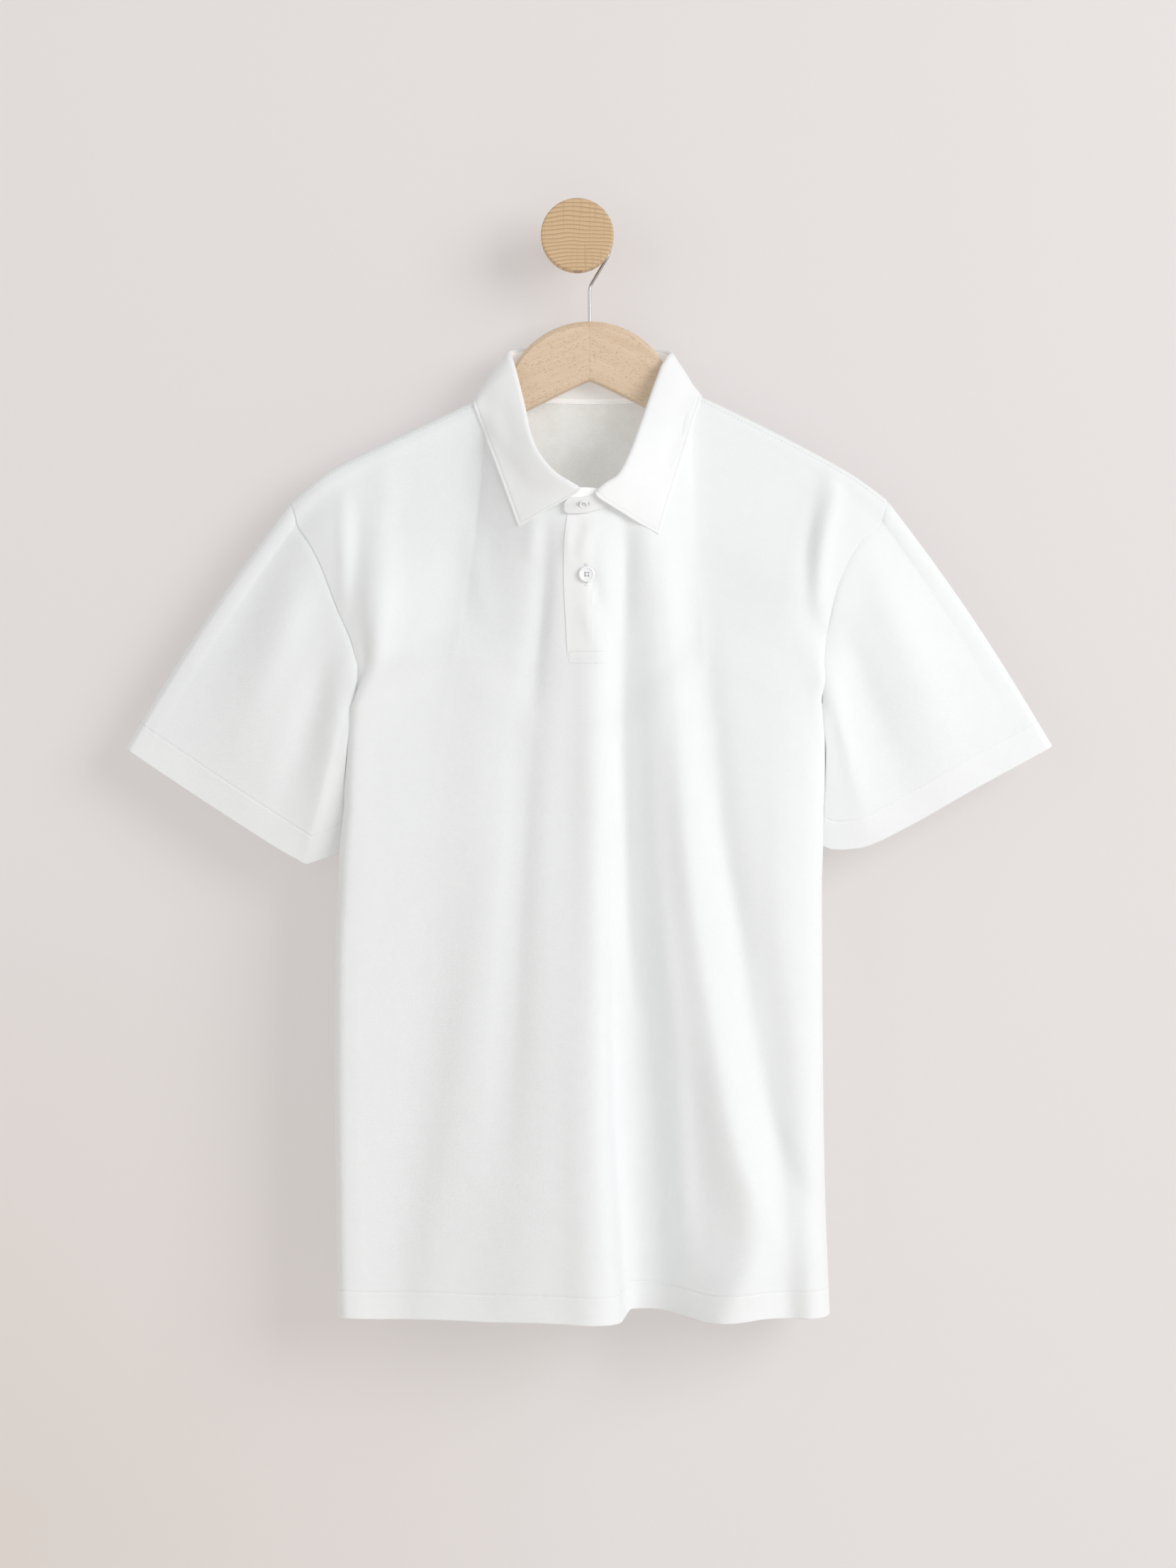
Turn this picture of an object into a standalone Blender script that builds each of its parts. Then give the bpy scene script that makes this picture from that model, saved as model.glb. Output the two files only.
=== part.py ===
"""Short-sleeved polo shirt on a contoured wooden hanger, hung by its wire hook on a round wooden wall peg.

Frame: origin at the centre of the peg's back face on the wall, +X to the right seen from the front,
+Y into the wall (everything built lies at negative Y), +Z up. Lengths below are millimetres.
"""
import math

import bmesh
import bpy
import numpy as np
from mathutils import Vector
from mathutils.bvhtree import BVHTree

MM = 0.001

# ---------------------------------------------------------------- driving sizes
JERSEY = 1.2            # wall of front, back and sleeves
BAND = 1.4              # wall of collar stand, collar fall and placket
SEAM = 0.3              # gap left between sewn pieces
CENTRE_X = 7.5          # centre line of the neck
HEM_Z = -834.0          # level of the hem
CHEST_Z = -480.0        # level where the plain tube ends and the yoke area starts
KNEE_STRETCH = 1.2      # fullness of the last turn of cloth below a seam

SHOULDER = 11                     # columns that end on each shoulder seam
NECK_F, NECK_B = 12, 8            # columns that end on each half of the neckline
ROWS_F, ROWS_B = (10, 5, 8, 4), (6, 4, 6, 4)      # rows of tube, side seam, armhole and last turn
ARMHOLE_F, ARMHOLE_B = sum(ROWS_F[2:]), sum(ROWS_B[2:])
SIDE_REACH = 14                   # columns over which the cloth follows its side seam and armhole

PEG_RADIUS, PEG_FACE_Y, PEG_RIM = 28.2, -58.0, 15.0
STEM_RADIUS = 13.0
WIRE_RADIUS = 1.25
HOOK_Y = -28.0
HANGER_HALF = 7.0       # half the thickness of the wooden hanger

# Level sections of the tube below the sleeves: outermost X on both sides, middle depth, depth to front
# and to back of it, squareness of both side turns, and how far both sides lean in towards the back.
TUBE = [
    # z,     left,   right,  mid,  front, back, sq_l, sq_r, lean_l, lean_r
    (-834.0, -188.5, 194.5, -53.0, 44.0, 41.0, 14.0, 9.0, 18.0, 2.0),
    (-740.0, -189.5, 192.0, -53.0, 42.5, 41.0, 14.0, 9.0, 20.0, 6.0),
    (-640.0, -189.0, 191.0, -52.0, 40.5, 40.0, 13.0, 9.0, 22.0, 12.0),
    (-560.0, -188.0, 191.5, -51.0, 38.5, 38.5, 12.0, 8.0, 24.0, 18.0),
    (-480.0, -186.5, 192.5, -50.0, 36.5, 37.0, 10.0, 7.0, 30.0, 26.0),
]

# Hanging folds of the front: ridge line, height towards the viewer, spread to its left and right.
FRONT_FOLDS = {
    "outer_left": [
        # z,      x,     height, left, right
        (-240.0, -83.0, 1.5, 20.0, 20.0),
        (-460.0, -73.0, 4.0, 24.0, 22.0),
        (-633.0, -87.0, 7.0, 26.0, 24.0),
        (-780.0, -109.0, 8.0, 26.0, 30.0),
        (-834.0, -115.0, 7.0, 26.0, 30.0),
    ],
    "inner_left": [
        (-235.0, -39.0, 3.0, 9.0, 9.0),
        (-312.0, -36.0, 4.0, 12.0, 11.0),
        (-438.0, -27.0, 5.0, 15.0, 14.0),
        (-698.0, -27.0, 6.0, 17.0, 18.0),
        (-773.0, -40.0, 7.0, 18.0, 20.0),
        (-834.0, -44.0, 5.0, 18.0, 20.0),
    ],
    "centre": [
        (-235.0, 13.0, 0.5, 14.0, 12.0),
        (-360.0, 13.0, 3.0, 14.0, 14.0),
        (-600.0, 14.0, 6.0, 18.0, 18.0),
        (-834.0, 17.0, 6.0, 20.0, 20.0),
    ],
    "diagonal": [
        (-232.0, 56.0, 3.0, 8.0, 12.0),
        (-451.0, 86.0, 7.0, 14.0, 18.0),
        (-560.0, 101.0, 9.0, 16.0, 20.0),
        (-698.0, 126.0, 12.0, 20.0, 20.0),
        (-780.0, 130.0, 14.0, 24.0, 24.0),
        (-834.0, 112.0, 14.0, 22.0, 30.0),
    ],
    "minor_right": [
        (-500.0, 58.0, 0.5, 8.0, 10.0),
        (-640.0, 70.0, 4.0, 9.0, 12.0),
        (-760.0, 80.0, 4.0, 9.0, 12.0),
        (-834.0, 84.0, 2.0, 9.0, 12.0),
    ],
    "right_hollow": [
        (-300.0, 90.0, -1.0, 12.0, 14.0),
        (-449.0, 109.0, -3.0, 12.0, 18.0),
        (-615.0, 142.0, -6.0, 14.0, 16.0),
        (-740.0, 154.0, -11.0, 16.0, 16.0),
        (-834.0, 161.0, -15.0, 24.0, 15.0),
    ],
    "armhole_left": [
        (-205.0, -150.0, 2.0, 10.0, 10.0),
        (-270.0, -156.0, 4.0, 9.0, 12.0),
        (-345.0, -163.0, 3.0, 9.0, 14.0),
        (-430.0, -165.0, 0.0, 9.0, 14.0),
    ],
    "armhole_right": [
        (-195.0, 198.0, 4.0, 8.0, 9.0),
        (-250.0, 190.0, 7.0, 9.0, 10.0),
        (-320.0, 184.0, 5.0, 10.0, 12.0),
        (-430.0, 180.0, 0.0, 12.0, 12.0),
    ],
}

# Deep valley right of the centre line: steep wall on its left, slow climb on its right.
VALLEY = [
    # z,     depth, wall_x, wall_w, climb_x, climb_w, pinch
    (-225.0, 4.0, 38.0, 9.0, 49.0, 12.0, 0.0),
    (-330.0, 10.0, 39.0, 11.0, 60.0, 22.0, 0.1),
    (-450.0, 17.0, 39.5, 12.0, 68.0, 30.0, 0.3),
    (-560.0, 26.0, 39.5, 13.0, 78.0, 36.0, 0.45),
    (-698.0, 42.0, 40.0, 14.0, 92.0, 44.0, 0.6),
    (-834.0, 56.0, 41.0, 15.0, 82.0, 34.0, 0.7),
]

# Hanging folds of the back, plain and alike.
BACK_FOLDS = {
    "back_left": [
        (-300.0, -96.0, 0.0, 20.0, 20.0),
        (-520.0, -104.0, -6.0, 20.0, 24.0),
        (-834.0, -116.0, -7.0, 22.0, 24.0),
    ],
    "back_centre_left": [
        (-260.0, -22.0, 0.0, 18.0, 18.0),
        (-520.0, -28.0, -7.0, 20.0, 20.0),
        (-834.0, -40.0, -9.0, 20.0, 22.0),
    ],
    "back_centre_right": [
        (-260.0, 44.0, 0.0, 18.0, 18.0),
        (-520.0, 48.0, -6.0, 20.0, 20.0),
        (-834.0, 44.0, -8.0, 20.0, 22.0),
    ],
    "back_right": [
        (-300.0, 112.0, 0.0, 20.0, 20.0),
        (-520.0, 116.0, -5.0, 22.0, 20.0),
        (-834.0, 128.0, -7.0, 24.0, 22.0),
    ],
}

# Armhole edge of the front and of the back from the underarm up to where the last turn starts.
FRONT_ARMHOLE = [
    # name,            left x, y, z,            right x, y, z
    ("underarm",       (-157.0, -48.0, -372.0), (170.0, -48.0, -370.0)),
    ("armhole_turn",   (-157.6, -53.0, -366.5), (171.5, -53.0, -364.0)),
    ("armhole_low",    (-161.0, -58.0, -349.0), (179.5, -57.5, -334.0)),
    ("armhole_meet",   (-167.8, -62.0, -328.5), (190.0, -58.5, -303.0)),
    ("armhole_chest",  (-172.9, -64.0, -314.6), (195.0, -60.0, -289.8)),
    ("armhole_mid",    (-183.4, -63.0, -291.9), (203.5, -58.0, -263.8)),
    ("armhole_high",   (-201.5, -54.0, -247.8), (219.3, -50.0, -235.2)),
]
BACK_ARMHOLE = [
    ("underarm",       (-157.0, -48.0, -372.0), (170.0, -48.0, -370.0)),
    ("armhole_turn",   (-157.4, -42.5, -366.5), (170.5, -42.5, -364.5)),
    ("armhole_low",    (-159.5, -35.0, -349.0), (173.5, -35.0, -346.0)),
    ("armhole_mid",    (-170.0, -25.0, -310.0), (187.0, -25.0, -305.0)),
    ("armhole_high",   (-195.0, -20.0, -258.0), (213.0, -20.0, -253.0)),
]

# Top edge of the front from shoulder point to centre front. The knee is where the cloth starts its last
# turn, counted from the edge; the rise is the way the cloth runs as it reaches the edge. Both are written
# for the left side and mirrored for the right.
FRONT_EDGE = [
    # name,            left x, y, z,            right x, y, z,          knee x, y, z,        rise x, y, z
    ("shoulder_point", (-222.5, -35.5, -206.0), (240.7, -35.5, -204.0), (5.0, -6.0, -17.0), (-0.2, 0.82, 0.5)),
    ("hanger_end",     (-197.0, -37.5, -184.9), (216.4, -37.5, -186.5), (2.0, -5.0, -17.0), (0.0, 0.88, 0.46)),
    ("shoulder_mid",   (-150.6, -37.5, -161.3), (166.0, -38.5, -159.0), (0.0, -4.5, -17.0), (0.0, 0.88, 0.46)),
    ("shoulder_neck",  (-90.0, -37.5, -132.6), (103.0, -39.5, -128.0), (0.0, -5.0, -17.0), (0.0, 0.88, 0.46)),
    ("neck_point",     (-67.0, -39.0, -121.5), (85.0, -40.0, -121.0), (-4.0, -7.0, -17.0), (0.15, 0.75, 0.6)),
    ("neck_side",      (-58.0, -52.0, -146.0), (75.0, -52.0, -146.0), (-6.0, -6.0, -19.0), (0.3, 0.4, 0.85)),
    ("neck_turn",      (-43.0, -67.0, -181.0), (58.0, -67.0, -181.0), (-5.0, -5.0, -20.0), (0.3, 0.2, 0.93)),
    ("neck_front",     (-18.0, -79.5, -208.0), (33.0, -79.5, -208.0), (-1.0, -2.0, -22.0), (0.1, 0.05, 1.0)),
    ("centre_front",   (7.5, -83.0, -217.0), (7.5, -83.0, -217.0), (0.0, -1.0, -22.0), (0.0, 0.0, 1.0)),
]

# Top edge of the back from shoulder point to centre back; the shoulder rows are those of the front.
BACK_EDGE = [
    ("shoulder_point", (-222.5, -35.5, -206.0), (240.7, -35.5, -204.0), (7.0, 15.5, -15.0), (-0.2, -0.85, -0.3)),
    ("hanger_end",     (-197.0, -37.5, -184.9), (216.4, -37.5, -186.5), (1.0, 20.0, -11.0), (0.0, -0.88, -0.4)),
    ("shoulder_mid",   (-150.6, -37.5, -161.3), (166.0, -38.5, -159.0), (0.0, 21.0, -8.0), (0.0, -0.88, -0.46)),
    ("shoulder_neck",  (-90.0, -37.5, -132.6), (103.0, -39.5, -128.0), (0.0, 21.5, -8.0), (0.0, -0.88, -0.46)),
    ("neck_point",     (-67.0, -39.0, -121.5), (85.0, -40.0, -121.0), (-8.0, 22.5, -11.0), (0.0, -0.88, -0.35)),
    ("neck_ridge",     (-68.0, -28.0, -118.0), (86.0, -28.0, -118.5), (-4.0, 12.0, -16.0), (0.15, -0.7, 0.4)),
    ("back_neck_side", (-60.0, -17.5, -118.0), (79.0, -17.5, -118.5), (-2.0, 2.5, -21.0), (0.1, -0.2, 0.95)),
    ("back_neck_turn", (-36.0, -14.0, -120.5), (51.0, -14.0, -120.5), (0.0, 1.0, -22.0), (0.0, -0.05, 1.0)),
    ("centre_back",    (7.5, -13.5, -122.0), (7.5, -13.5, -122.0), (0.0, 1.0, -22.0), (0.0, 0.0, 1.0)),
]

# Hem opening of each sleeve from the under seam round the front to the top fold and back behind.
SLEEVE_HEM = {
    "left": {
        "front": [
            ("under_seam", -181.0, -31.0, -457.5),
            ("turned_back", -185.5, -43.0, -462.5),
            ("lower_turn", -196.0, -57.0, -474.5),
            ("front_crest", -210.0, -62.0, -485.0),
            ("front_lower", -232.0, -60.0, -474.0),
            ("front_upper", -296.0, -49.0, -433.0),
            ("top_front", -346.5, -43.5, -399.5),
            ("top_fold", -351.2, -38.0, -396.3),
        ],
        "back": [
            ("top_fold", -351.2, -38.0, -396.3),
            ("top_back", -346.5, -32.5, -399.5),
            ("back_upper", -300.0, -26.0, -430.0),
            ("back_lower", -236.0, -19.0, -470.0),
            ("back_turn", -204.0, -16.5, -476.0),
            ("under_seam", -181.0, -31.0, -457.5),
        ],
    },
    "right": {
        "front": [
            ("under_seam", 191.5, -30.0, -455.0),
            ("turned_back", 195.5, -39.0, -459.5),
            ("lower_turn", 205.3, -50.0, -466.5),
            ("front_crest", 217.0, -59.0, -475.2),
            ("front_lower", 254.0, -57.0, -458.1),
            ("front_upper", 303.8, -50.0, -430.0),
            ("top_front", 364.0, -43.5, -397.5),
            ("top_fold", 368.8, -38.0, -394.6),
        ],
        "back": [
            ("top_fold", 368.8, -38.0, -394.6),
            ("top_back", 364.0, -32.5, -397.5),
            ("back_upper", 312.0, -26.0, -424.0),
            ("back_lower", 250.0, -19.0, -458.0),
            ("back_turn", 214.0, -16.5, -468.0),
            ("under_seam", 191.5, -30.0, -455.0),
        ],
    },
}
SLEEVE_ROWS = 10

# Folds of the sleeves: place round the front (0 under seam, 1 top fold) at the armhole and at the hem,
# height, spread round, and where along the sleeve the fold is strongest and how far it reaches.
SLEEVE_FOLDS = {
    # name:                (from, to,  height, spread, peak, reach)
    "left": {
        "under_crest":     (0.27, 0.22, 5.0, 0.07, 0.35, 0.45),
        "lower_hollow":    (0.42, 0.36, -3.5, 0.08, 0.45, 0.35),
        "shoulder_ridge":  (0.72, 0.60, 4.5, 0.10, 0.25, 0.40),
        "outer_hollow":    (0.90, 0.80, -2.0, 0.07, 0.35, 0.35),
    },
    "right": {
        "under_crest":     (0.25, 0.22, 5.0, 0.07, 0.35, 0.45),
        "lower_hollow":    (0.45, 0.42, -4.5, 0.09, 0.45, 0.45),
        "shoulder_ridge":  (0.75, 0.62, 4.5, 0.10, 0.35, 0.50),
    },
}

# Collar sections from the front end round to centre back: fold line and outer edge of the fall.
# A depth of None lays the outer edge on the cloth below it.
COLLAR = {
    "left": [
        # name,        fold x, y, z,             edge x, y, z
        ("front_end",  (3.3, -84.8, -200.0), (-45.1, None, -226.5)),
        ("lapel",      (-1.0, -84.4, -197.0), (-49.0, None, -215.5)),
        ("chest",      (-13.6, -82.0, -190.0), (-56.0, None, -196.5)),
        ("turn",       (-27.1, -76.0, -175.5), (-63.5, None, -176.0)),
        ("side_low",   (-35.4, -67.5, -158.5), (-70.0, None, -158.5)),
        ("side",       (-41.5, -54.5, -133.5), (-76.5, None, -140.8)),
        ("shoulder",   (-50.5, -38.5, -97.0), (-82.5, -39.0, -123.5)),
        ("back_side",  (-52.0, -26.0, -89.0), (-78.0, -14.0, -123.5)),
        ("back_turn",  (-38.0, -16.0, -85.5), (-58.0, -7.5, -127.0)),
        ("centre_back", (7.5, -14.0, -84.0), (7.5, -6.5, -127.5)),
    ],
    "right": [
        ("front_end",  (12.3, -86.2, -203.3), (62.5, None, -232.8)),
        ("lapel",      (17.4, -85.6, -198.5), (66.5, None, -219.0)),
        ("chest",      (30.3, -82.0, -190.0), (72.5, None, -199.5)),
        ("turn",       (40.4, -75.0, -171.5), (79.0, None, -178.5)),
        ("side_low",   (47.5, -66.0, -153.0), (85.5, None, -157.5)),
        ("side",       (54.9, -53.5, -133.0), (91.0, None, -139.5)),
        ("shoulder",   (68.0, -38.5, -97.0), (97.5, -39.0, -121.0)),
        ("back_side",  (71.5, -25.5, -90.0), (96.0, -14.0, -123.0)),
        ("back_turn",  (56.0, -16.0, -85.5), (75.0, -7.5, -127.0)),
        ("centre_back", (7.5, -14.0, -84.0), (7.5, -6.5, -127.5)),
    ],
}
FALL_ROWS = 4           # rows of the fall below its roll
FALL_ROLL = (0.0, 55.0, 110.0, 165.0)       # turn of the cloth at the rows of the roll, in degrees
ROLL_RADIUS = 1.7
EDGE_LIFT = 2.6         # outer edge of the fall above the cloth it lies on

# Visible outline of the placket: level, left edge, right edge.
PLACKET = [
    (-218.5, -7.2, 22.7),
    (-232.0, -9.0, 22.7),
    (-260.0, -10.2, 22.7),
    (-300.0, -8.6, 22.7),
    (-333.0, -6.9, 22.7),
]
PLACKET_ROWS, PLACKET_COLUMNS = 12, 5

# Lap of the collar stand over its other end: x, then depth and level of its lower and upper edge.
STAND_LAP = [
    (4.0, -85.3, -217.2, -87.0, -205.8),
    (-0.5, -85.2, -217.4, -86.8, -205.9),
    (-4.5, -85.0, -217.5, -86.4, -206.3),
    (-7.6, -84.8, -217.2, -86.0, -207.6),
    (-9.6, -84.6, -215.6, -85.4, -210.4),
]

# Buttons: middle x and z, radius, clearance over the cloth, and tilt about X and Z in degrees.
BUTTONS = {
    "button_stand":   (5.0, -211.0, 4.6, 0.5, 8.5, -4.0),
    "button_placket": (7.2, -264.5, 5.6, 0.9, 0.0, 6.0),
}

# Upper edge and lower edge of the hanger, mirrored about its centre line.
HANGER_CENTRE_X = 9.6
HANGER_LEFT = [
    # x from centre, top z, bottom z
    (0.0, -63.7, -109.8),
    (8.0, -64.2, -113.2),
    (18.0, -66.2, -118.0),
    (28.0, -69.8, -122.9),
    (38.0, -75.4, -127.8),
    (46.0, -81.8, -131.7),
    (53.7, -90.4, -135.4),
    (60.0, -100.8, -138.5),
    (65.5, -111.0, -141.3),
    (70.5, -119.6, -143.8),
    (77.0, -123.8, -147.5),
    (92.0, -130.3, -154.6),
    (125.0, -144.2, -171.0),
    (160.0, -161.5, -187.0),
    (186.0, -175.8, -200.0),
    (194.0, -183.2, -202.0),
    (198.0, -189.0, -200.5),
]


# ---------------------------------------------------------------- small maths helpers
def unit(v):
    """Vectors scaled to length one along the last axis."""
    v = np.asarray(v, float)
    return v / np.maximum(np.linalg.norm(v, axis=-1, keepdims=True), 1e-9)


def smooth_table(rows, z):
    """Smooth interpolation of a table whose first column is the level."""
    data = np.array(sorted(rows), float)
    keys, vals = data[:, 0], data[:, 1:]
    slope = np.gradient(vals, keys, axis=0)
    zc = np.clip(np.asarray(z, float), keys[0], keys[-1])
    i = np.clip(np.searchsorted(keys, zc) - 1, 0, len(keys) - 2)
    h = keys[i + 1] - keys[i]
    t = ((zc - keys[i]) / h)[..., None]
    h = h[..., None]
    a = (2 * t**3 - 3 * t**2 + 1) * vals[i] + (t**3 - 2 * t**2 + t) * h * slope[i]
    b = (3 * t**2 - 2 * t**3) * vals[i + 1] + (t**3 - t**2) * h * slope[i + 1]
    return np.moveaxis(a + b, -1, 0)


def arc_positions(points):
    """Running length of a polyline, counted on its first three columns."""
    steps = np.linalg.norm(np.diff(points[:, :3], axis=0), axis=1)
    return np.concatenate([[0.0], np.cumsum(steps)])


def spline(points, count, dense=24):
    """Catmull-Rom curve through the rows of points, cut into equal lengths."""
    p = np.asarray(points, float)
    p = np.vstack([2 * p[0] - p[1], p, 2 * p[-1] - p[-2]])
    out = []
    for k in range(1, len(p) - 2):
        t = np.linspace(0.0, 1.0, dense, endpoint=False)[:, None]
        gap = max(np.linalg.norm(p[k + 1, :3] - p[k, :3]), 1e-6)
        before = max(np.linalg.norm(p[k, :3] - p[k - 1, :3]), 1e-6)
        after = max(np.linalg.norm(p[k + 2, :3] - p[k + 1, :3]), 1e-6)
        m0 = (p[k + 1] - p[k - 1]) * gap / (gap + before)
        m1 = (p[k + 2] - p[k]) * gap / (gap + after)
        out.append((2 * t**3 - 3 * t**2 + 1) * p[k] + (t**3 - 2 * t**2 + t) * m0
                   + (3 * t**2 - 2 * t**3) * p[k + 1] + (t**3 - t**2) * m1)
    curve = np.vstack(out + [p[-2][None, :]])
    return even_cut(curve, count)


def even_cut(curve, count):
    """Polyline cut into count - 1 equal lengths."""
    run = arc_positions(curve)
    want = np.linspace(0.0, run[-1], count)
    return np.stack([np.interp(want, run, curve[:, c]) for c in range(curve.shape[1])], axis=1)


def cut_at(curve, shares):
    """Points of a polyline at the given shares of its length."""
    run = arc_positions(curve)
    return np.stack([np.interp(shares * run[-1], run, curve[:, c]) for c in range(3)], axis=1)


def hermite(p0, m0, p1, m1, t):
    """Cubic from p0 to p1 with end tangents m0 and m1."""
    return ((2 * t**3 - 3 * t**2 + 1) * p0 + (t**3 - 2 * t**2 + t) * m0
            + (3 * t**2 - 2 * t**3) * p1 + (t**3 - t**2) * m1)


# ---------------------------------------------------------------- relief of the folds
def ridge_relief(table, x, z):
    """Height of every ridge of a fold table at x, z (towards the viewer counts negative Y)."""
    total = np.zeros(np.broadcast(x, z).shape)
    for rows in table.values():
        at, height, left, right = smooth_table(rows, z)
        spread = np.where(x < at, left, right)
        inside = np.clip((max(r[0] for r in rows) + 45.0 - z) / 45.0, 0.0, 1.0)
        inside = inside * np.clip((z - min(r[0] for r in rows) + 60.0) / 60.0, 0.0, 1.0)
        total = total - height * np.exp(-((x - at) / spread)**2) * inside
    return total


def valley_relief(x, z):
    """Depth of the valley right of the centre and the sideways pinch of its steep wall."""
    depth, wall_x, wall_w, climb_x, climb_w, pinch = smooth_table(VALLEY, z)
    down = 0.5 + 0.5 * np.tanh(2.0 * (x - wall_x) / wall_w)
    up = 0.5 + 0.5 * np.tanh(2.0 * (x - climb_x) / climb_w)
    tau = (x - wall_x) / wall_w
    return depth * (down - up), -pinch * wall_w * tau * np.exp(-tau**2)


# ---------------------------------------------------------------- body of the shirt
def tube_points(z, xi, front):
    """Points of the plain tube at level z; xi runs from -1 at the left side seam to 1 at the right."""
    left, right, mid, to_front, to_back, sq_l, sq_r, lean_l, lean_r = smooth_table(TUBE, z)
    square = np.where(xi < 0, sq_l, sq_r)
    reach = -to_front if front else to_back
    y = mid + reach * np.sqrt(np.maximum(1.0 - np.abs(xi)**square, 0.0))
    x = 0.5 * (left + right) + 0.5 * (right - left) * xi
    back_share = (y - mid + to_front) / (to_front + to_back)
    x = x + np.where(xi < 0, lean_l, -lean_r) * np.abs(xi)**5 * back_share
    return np.stack([x, y, np.full_like(x, z)], axis=-1)


def add_relief(points, front, fade):
    """Points moved by the folds of their panel; fade weakens the folds near seams."""
    x, y, z = points[..., 0], points[..., 1], points[..., 2]
    if front:
        dy, dx = valley_relief(x, z)
        dy = dy + ridge_relief(FRONT_FOLDS, x, z)
    else:
        dy, dx = ridge_relief(BACK_FOLDS, x, z), 0.0
    return np.stack([x + dx * fade, y + dy * fade, z], axis=-1)


def tube_row(z, count, front):
    """One level of a panel, folds included, cut into equal lengths of cloth."""
    angle = np.linspace(-0.5 * math.pi, 0.5 * math.pi, 721)
    xi = np.sin(angle)
    base = tube_points(z, xi, front)
    shaped = add_relief(base, front, 1.0 - np.abs(xi)**10)
    run = arc_positions(shaped)
    want = np.interp(np.linspace(0.0, run[-1], count), run, angle)
    xi = np.sin(want)
    return tube_points(z, xi, front), xi


def edge_curve(rows, counts, side):
    """Top edge of one half of a panel with its knee offsets and rises, cut into the given columns."""
    mirror = np.array([1.0, 1.0, 1.0] if side == "left" else [-1.0, 1.0, 1.0])
    table = []
    for name, left, right, knee, rise in rows:
        at = left if side == "left" else right
        table.append(np.concatenate([at, np.array(knee) * mirror, unit(rise) * mirror]))
    names = [r[0] for r in rows]
    cuts = [0, names.index("neck_point"), len(rows) - 1]
    parts = []
    for start, stop, count in zip(cuts[:-1], cuts[1:], counts):
        part = spline(table[start:stop + 1], count + 1)
        parts.append(part if not parts else part[1:])
    return np.vstack(parts)


def side_line(armhole, side, start, out_dir, last_turn, rows):
    """Side edge of a panel: side seam up to the underarm, armhole, and the last turn to the shoulder point."""
    points = [left if side == "left" else right for _, left, right in armhole]
    seam_rows, hole_rows = rows
    under = np.array(points[0])
    length = np.linalg.norm(under - start)
    lean = np.array([0.25 if side == "left" else -0.25, 0.0, 1.0])
    seam = [hermite(start, out_dir * length, under, lean * length, t)
            for t in np.linspace(0.0, 1.0, seam_rows + 1)[:-1]]
    hole = spline(points + [tuple(last_turn[0])], hole_rows + 1)
    return np.vstack([seam, hole[:-1], last_turn])


def panel_grid(front, fine=1):
    """Middle surface of the front or the back and its outward normals, rows from the hem up."""
    edge_rows, armhole = (FRONT_EDGE, FRONT_ARMHOLE) if front else (BACK_EDGE, BACK_ARMHOLE)
    counts = [c * fine for c in (SHOULDER, NECK_F if front else NECK_B)]
    tube_rows, seam_rows, hole_rows, knee_rows = [r * fine for r in (ROWS_F if front else ROWS_B)]
    left = edge_curve(edge_rows, counts, "left")
    right = edge_curve(edge_rows, counts, "right")
    top = np.vstack([left, right[::-1][1:]])
    count = len(top)
    grid, fade = [], []
    for z in np.linspace(HEM_Z, CHEST_Z, tube_rows + 1):
        base, xi = tube_row(z, count, front)
        grid.append(base)
        fade.append(1.0 - np.abs(xi)**10)
    below = tube_points(CHEST_Z - 10.0, xi, front)
    edge, knee, rise = top[:, :3], top[:, :3] + top[:, 3:6], unit(top[:, 6:9])
    span = np.linalg.norm(knee - base, axis=1, keepdims=True)
    start, out_dir = base, unit(base - below)
    knee_dir = unit(knee - start + 0.25 * span * out_dir)
    last = np.linalg.norm(edge - knee, axis=1, keepdims=True)
    edge = edge - rise * 0.5 * SEAM
    column = np.arange(count)
    from_side = np.minimum(column, column[::-1])
    firm = np.clip(from_side / (3.0 * fine), 0.0, 1.0)
    yoke_rows = seam_rows + hole_rows
    for t in np.linspace(0.0, 1.0, yoke_rows + 1)[1:]:
        grid.append(hermite(start, out_dir * span, knee, knee_dir * span, t))
        fade.append(fade[tube_rows] * (1 - t) + t * firm)
    for t in np.linspace(0.0, 1.0, knee_rows + 1)[1:]:
        grid.append(hermite(knee, knee_dir * last * KNEE_STRETCH, edge, rise * last * KNEE_STRETCH, t))
        fade.append((1.0 - t)**2 * firm)
    grid = np.array(grid)
    for side, end, near in (("left", 0, column), ("right", -1, column[::-1])):
        last_turn = grid[-1 - knee_rows:, end]
        line = side_line(armhole, side, start[end], out_dir[end], last_turn, (seam_rows, hole_rows))
        pull = line - grid[tube_rows:, end]
        calm = pull.copy()
        for _ in range(6 * fine**2):
            calm[1:-1] = 0.25 * calm[:-2] + 0.5 * calm[1:-1] + 0.25 * calm[2:]
        calm *= np.clip((np.arange(len(line))[::-1] - knee_rows) / (0.5 * hole_rows), 0.0, 1.0)[:, None]
        for amount, reach in ((calm, SIDE_REACH), (pull - calm, 0.4 * SIDE_REACH)):
            share = np.clip(1.0 - near / (reach * fine), 0.0, 1.0)
            share = share**2 * (3.0 - 2.0 * share)
            grid[tube_rows:] += amount[:, None, :] * share[None, :, None]
    grid = add_relief(grid, front, np.array(fade))
    under = tube_rows + seam_rows + 1
    way = -1.0 if front else 1.0
    grid[:under, [0, -1], 1] += 0.5 * way * SEAM
    normals = grid_normals(grid, sides=((0.0, way, 0.0), (0.0, -way, 0.0)), turned=under, top=rise)
    return grid, normals if front else -normals


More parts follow.
